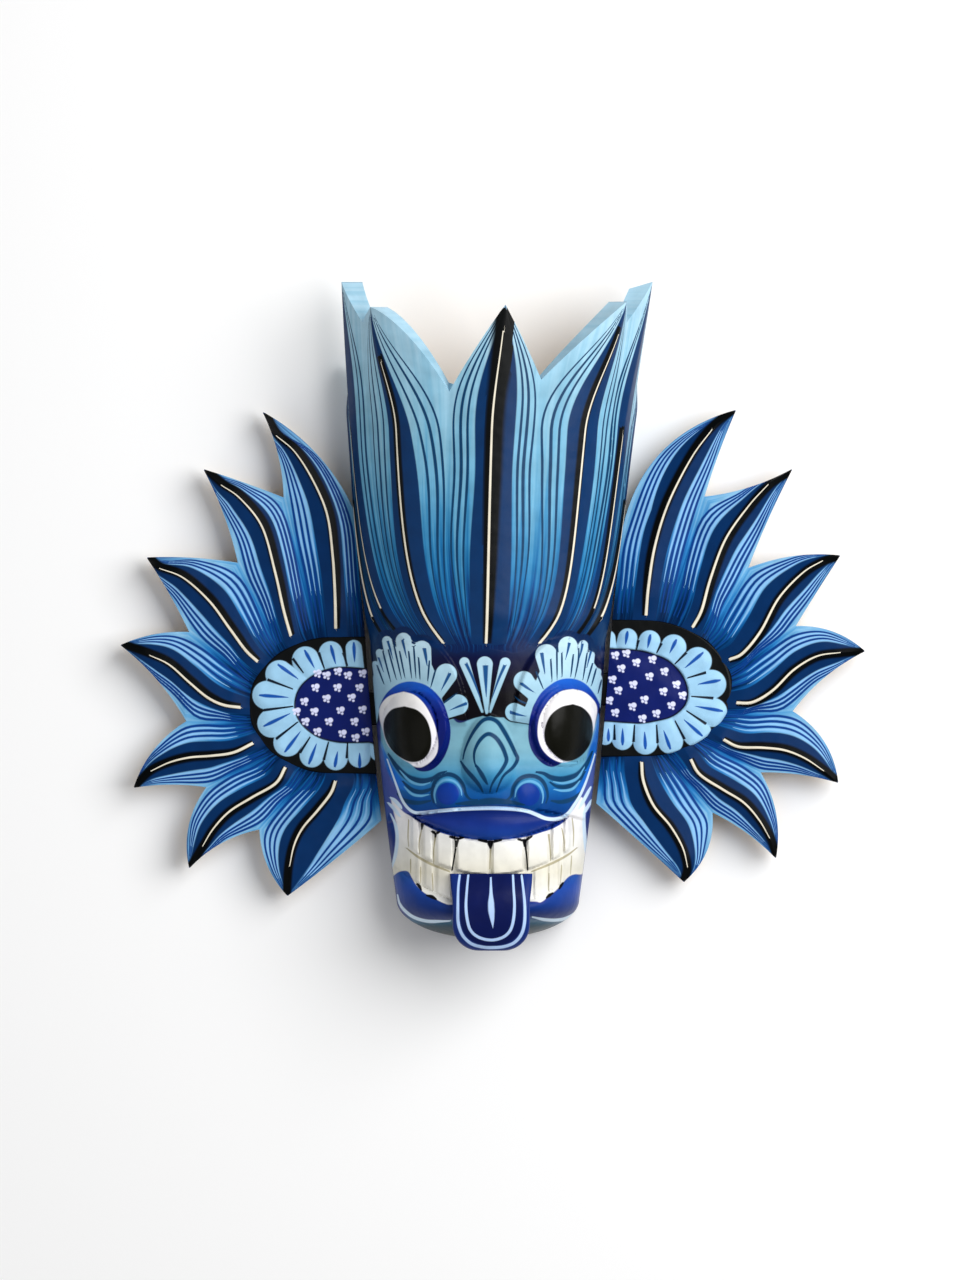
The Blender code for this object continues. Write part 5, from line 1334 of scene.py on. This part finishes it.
# Pale blue petals stand out from a black ground, each shaded by a blue drop; the heart is a deep violet
# navy that the near-white dabs make look darker still.
HEART_BORDER = 0.7
FLOWER_COATS = (("petals", "region", 0.3, "#9ccae8"), ("dark lines", "line", 0.35, "#0a1828"),
    ("drops", "line", 0.35, "#1650a4"), ("heart", "region", 0.35, "#060814"),
    ("heart inside", "region", 0.5, "#0a1a60"), ("marks", "region", 0.25, "#dfe2ff"))
FLOWER_GROUND = ((0.0, LAMP_BLACK), (1.0, NAVY))
flower_enamel = enamel("blue and black gloss enamel, half flowers", FLOWER_GROUND, FLOWER_COATS)
for board in (LEFT_BOARD, RIGHT_BOARD):
    flower = half_flower(board)
    store(flower.data, "heart inside", recall(flower.data, "heart") - HEART_BORDER)
    for paint in (flower_enamel, wood, edge_enamel):
        flower.data.materials.append(paint)
    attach(flower, "root")
    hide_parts(board["name"] + "_ear_flames")

# The tenons
# A short bar of wood left on each board's straight edge, glued in a mortise in the mask's side. It shows
# in the narrow gap between them, where plain black enamel lets it sink into the shadow.
tenon_enamel = enamel("black gloss enamel, tenons", ((0.0, LAMP_BLACK), (1.0, LAMP_BLACK)), ())
TENON = (15.0, 6.0)
TENON_FLOOR, TENON_ROUND = 9.0, 0.8
TENON_IN, TENON_OUT = 6.0, 4.0
TENON_POINTS = 40
for board in (LEFT_BOARD, RIGHT_BOARD):
    side, level = board["side"], board["tenon_y"]
    axis, half, _ = log_section(level)
    ends = axis + side * np.array([half - TENON_IN, half + BOARD_GAP + TENON_OUT])
    turn = np.linspace(0, 2 * np.pi, TENON_POINTS, endpoint=False) + np.pi / TENON_POINTS
    wide, thick = TENON[0] / 2 - TENON_ROUND, TENON[1] / 2 - TENON_ROUND
    y = level + np.sign(np.cos(turn)) * wide + TENON_ROUND * np.cos(turn)
    z = TENON_FLOOR + TENON[1] / 2 + np.sign(np.sin(turn)) * thick + TENON_ROUND * np.sin(turn)
    loops = np.array([[(x, *spot) for spot in zip(y, z)] for x in ends])
    belt = np.arange(TENON_POINTS)
    ahead = (belt + 1) % TENON_POINTS
    walls = np.stack([belt, ahead, ahead + TENON_POINTS, belt + TENON_POINTS], axis=1)
    tenon = new_piece(board["name"] + "_tenon", loops.reshape(-1, 3),
                      walls.tolist() + [belt[::-1].tolist(), (belt + TENON_POINTS).tolist()], {})
    tenon.data.materials.append(tenon_enamel)
    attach(tenon, "root")
    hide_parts(board["name"] + "_ear_flames")


# The tongue
# Carved in one with the face, a thick strap that comes out under the front teeth, bends over the lower
# lip and ends round, free of the chin. Its navy ground carries two pale outlines and a pale drop.
TONGUE_X = -0.8
TONGUE_TOP, TONGUE_TIP = -117.5, -152.7
TONGUE_HALF, TONGUE_CORNER = 17.6, 12.0
TONGUE_FRONT, TONGUE_CREST, TONGUE_DROOP = 62.4, -133.0, 0.021
TONGUE_THICK, TONGUE_ROUND = 8.0, 1.8
TONGUE_RISE = 0.9
TONGUE_FLARE = 1.2
THIN_END, END_FULLNESS, THICKEST_ROUND, LEAST_CROWN = 0.02, 0.25, 0.9, 2.0
STRAP_ROWS, END_ROWS, FACE_COLUMNS, CORNER_COLUMNS = 60, 44, 70, 7
round_y = TONGUE_TIP + TONGUE_CORNER
turn = np.radians(np.linspace(0, 90, END_ROWS))
row_y = np.append(np.linspace(TONGUE_TOP, round_y, STRAP_ROWS)[:-1], round_y - TONGUE_CORNER * np.sin(turn))
inset = np.append(np.zeros(STRAP_ROWS - 1), TONGUE_CORNER * (1 - np.cos(turn)))
flare = TONGUE_FLARE * smooth((row_y - TONGUE_CREST) / (TONGUE_TOP - TONGUE_CREST))
half = (TONGUE_HALF - inset + flare)[:, None]
taper = np.cos(turn) ** END_FULLNESS * (1 - THIN_END) + THIN_END
thick = TONGUE_THICK / 2 * np.append(np.ones(STRAP_ROWS - 1), taper)[:, None]
rounding = np.minimum(TONGUE_ROUND, thick * THICKEST_ROUND)
face_x = np.linspace(-1, 1, FACE_COLUMNS)
corner = np.radians(np.linspace(0, 90, CORNER_COLUMNS))
right_x = half - rounding + rounding * np.sin(corner)[None]
right_z = thick - rounding + rounding * np.cos(corner)[None]
front_x = (half - rounding) * face_x[None, 1:-1]
crown = TONGUE_RISE * (1 - (front_x / half) ** 2) * (thick > LEAST_CROWN)
front_z = np.broadcast_to(thick, front_x.shape) + crown
top_x = np.hstack([-right_x[:, ::-1], front_x, right_x])
top_z = np.hstack([right_z[:, ::-1], front_z, right_z])
loop_x = np.hstack([top_x, top_x[:, ::-1]])
loop_z = np.hstack([top_z, -np.minimum(top_z, thick)[:, ::-1]])
middle = TONGUE_FRONT - TONGUE_THICK / 2 - TONGUE_DROOP * (row_y - TONGUE_CREST) ** 2
loop_y = np.broadcast_to(row_y[:, None], loop_x.shape)
strap = np.dstack([TONGUE_X + loop_x, loop_y, middle[:, None] + loop_z])
rows, columns = loop_x.shape
around = np.arange(columns)
first = (np.arange(rows - 1) * columns)[:, None]
ahead = (around + 1) % columns
quads = np.stack([first + around, first + ahead, first + columns + ahead, first + columns + around], axis=-1)
caps = [around[::-1].tolist(), (around + (rows - 1) * columns).tolist()]
tongue = new_piece("hanging_tongue", strap.reshape(-1, 3), quads.reshape(-1, 4).tolist() + caps, {})
spots = seen_from_above(tongue.data)
TONGUE_LINES = (
    (((-15.1, -117.8), (-15.8, -123.7), (-16, -132.9), (-15.8, -139.8), (-13.9, -145.4), (-10, -149.3),
        (-4.9, -150.9), (-0.3, -151.2), (5.2, -150.7), (9.8, -148.8), (13, -144.9), (14.4, -139.4),
        (14.5, -132), (13.9, -125.1), (13, -117.8)), (0.45, 0.7, 0.7, 0.7, 0.45)),
    (((-11.2, -117.8), (-11.8, -123.7), (-12.3, -132), (-11.6, -138.9), (-10, -143.5), (-6.3, -146.5),
        (-0.8, -147.7), (4.3, -146.5), (7.7, -143.5), (9.3, -138.5), (9.8, -131.6), (9.4, -124.2),
        (9.1, -117.8)), (0.45, 0.65, 0.65, 0.65, 0.45)),
    (((-1, -118.7), (-0.9, -126), (-0.8, -132.9), (-0.3, -138.5), (0, -142.1)),
        (0.35, 0.5, 0.7, 1.3, 1.4, 0.9, 0.1)),
)
TONGUE_MARGIN = ((-13.7, -112.2), (-14.8, -123.7), (-15.1, -132.9), (-14.6, -139.8), (-12.8, -144.9),
    (-9.1, -148.3), (-4.5, -150), (-0.3, -150.3), (4.7, -149.7), (8.9, -147.9), (12.1, -144.4),
    (13.4, -139.4), (13.5, -132), (13, -125.1), (12.1, -112.2))
store(tongue.data, "middle", outline_depth(spots, TONGUE_MARGIN))
draw_lines(tongue.data, "light lines", spots,
           [brush(curve(line, 5 * len(line)), widths) for line, widths in TONGUE_LINES])
# A wet-looking navy, deeper in the middle than at the edge, makes the pale outlines the brightest thing.
TONGUE_BLUES = ((0.0, "#142c74"), (1.0, "#142c74"))
TONGUE_COATS = (("middle", "region", 0.4, "#08144c"), ("light lines", "line", 0.3, "#b4d0f8"))
tongue.data.materials.append(enamel("navy gloss enamel, tongue", TONGUE_BLUES, TONGUE_COATS))
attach(tongue, "root")
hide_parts("face")

# The camera
# It looks straight down on the mask from far off, as the photograph does, so that nothing leans.
VIEW_CENTRE = (-5.9, -11.0)
VIEW_HEIGHT = 588.8
CAMERA_DISTANCE = 6000.0
SENSOR = 36.0
CLIP_END = 20.0
camera = bpy.data.objects.new("camera", bpy.data.cameras.new("camera"))
camera.data.sensor_width = SENSOR
camera.data.lens = SENSOR * CAMERA_DISTANCE / VIEW_HEIGHT
camera.data.clip_end = CLIP_END
camera.location = (VIEW_CENTRE[0] * MM, VIEW_CENTRE[1] * MM, CAMERA_DISTANCE * MM)
bpy.context.scene.collection.objects.link(camera)
bpy.context.scene.camera = camera

# The floor and the light
# A sheet of matt white paper, bright and without shine, under a large soft lamp at the upper right, which
# lays the shadow to the lower left, and a weaker one at the lower left.
FLOOR_REACH = 4.0
PAPER, DAYLIGHT, DAYLIGHT_LEVEL = "#f7f7f7", "#ffffff", 0.3
LAMPS = (("key", (0.85, 0.42, 1.15), 1.3, 27.0), ("fill", (-1.0, -0.6, 1.2), 1.8, 5.5))
bpy.context.scene.view_settings.view_transform = "Standard"
floor_mesh = bpy.data.meshes.new("floor")
corners = [(x * FLOOR_REACH, y * FLOOR_REACH, 0.0) for x, y in ((-1, -1), (1, -1), (1, 1), (-1, 1))]
floor_mesh.from_pydata(corners, [], [(0, 1, 2, 3)])
floor = bpy.data.objects.new("floor", floor_mesh)
bpy.context.scene.collection.objects.link(floor)
pale = bpy.data.materials.new("matt white paper")
pale.use_nodes = True
pale.node_tree.nodes["Principled BSDF"].inputs["Base Color"].default_value = srgb(PAPER)
floor_mesh.materials.append(pale)
for name, spot, size, power in LAMPS:
    lamp = bpy.data.objects.new(name, bpy.data.lights.new(name, "AREA"))
    lamp.data.size = size
    lamp.data.energy = power
    lamp.location = spot
    lamp.rotation_euler = Vector(spot).to_track_quat("Z", "Y").to_euler()
    bpy.context.scene.collection.objects.link(lamp)
world = bpy.data.worlds.new("studio")
world.use_nodes = True
world.node_tree.nodes["Background"].inputs["Color"].default_value = srgb(DAYLIGHT)
world.node_tree.nodes["Background"].inputs["Strength"].default_value = DAYLIGHT_LEVEL
bpy.context.scene.world = world
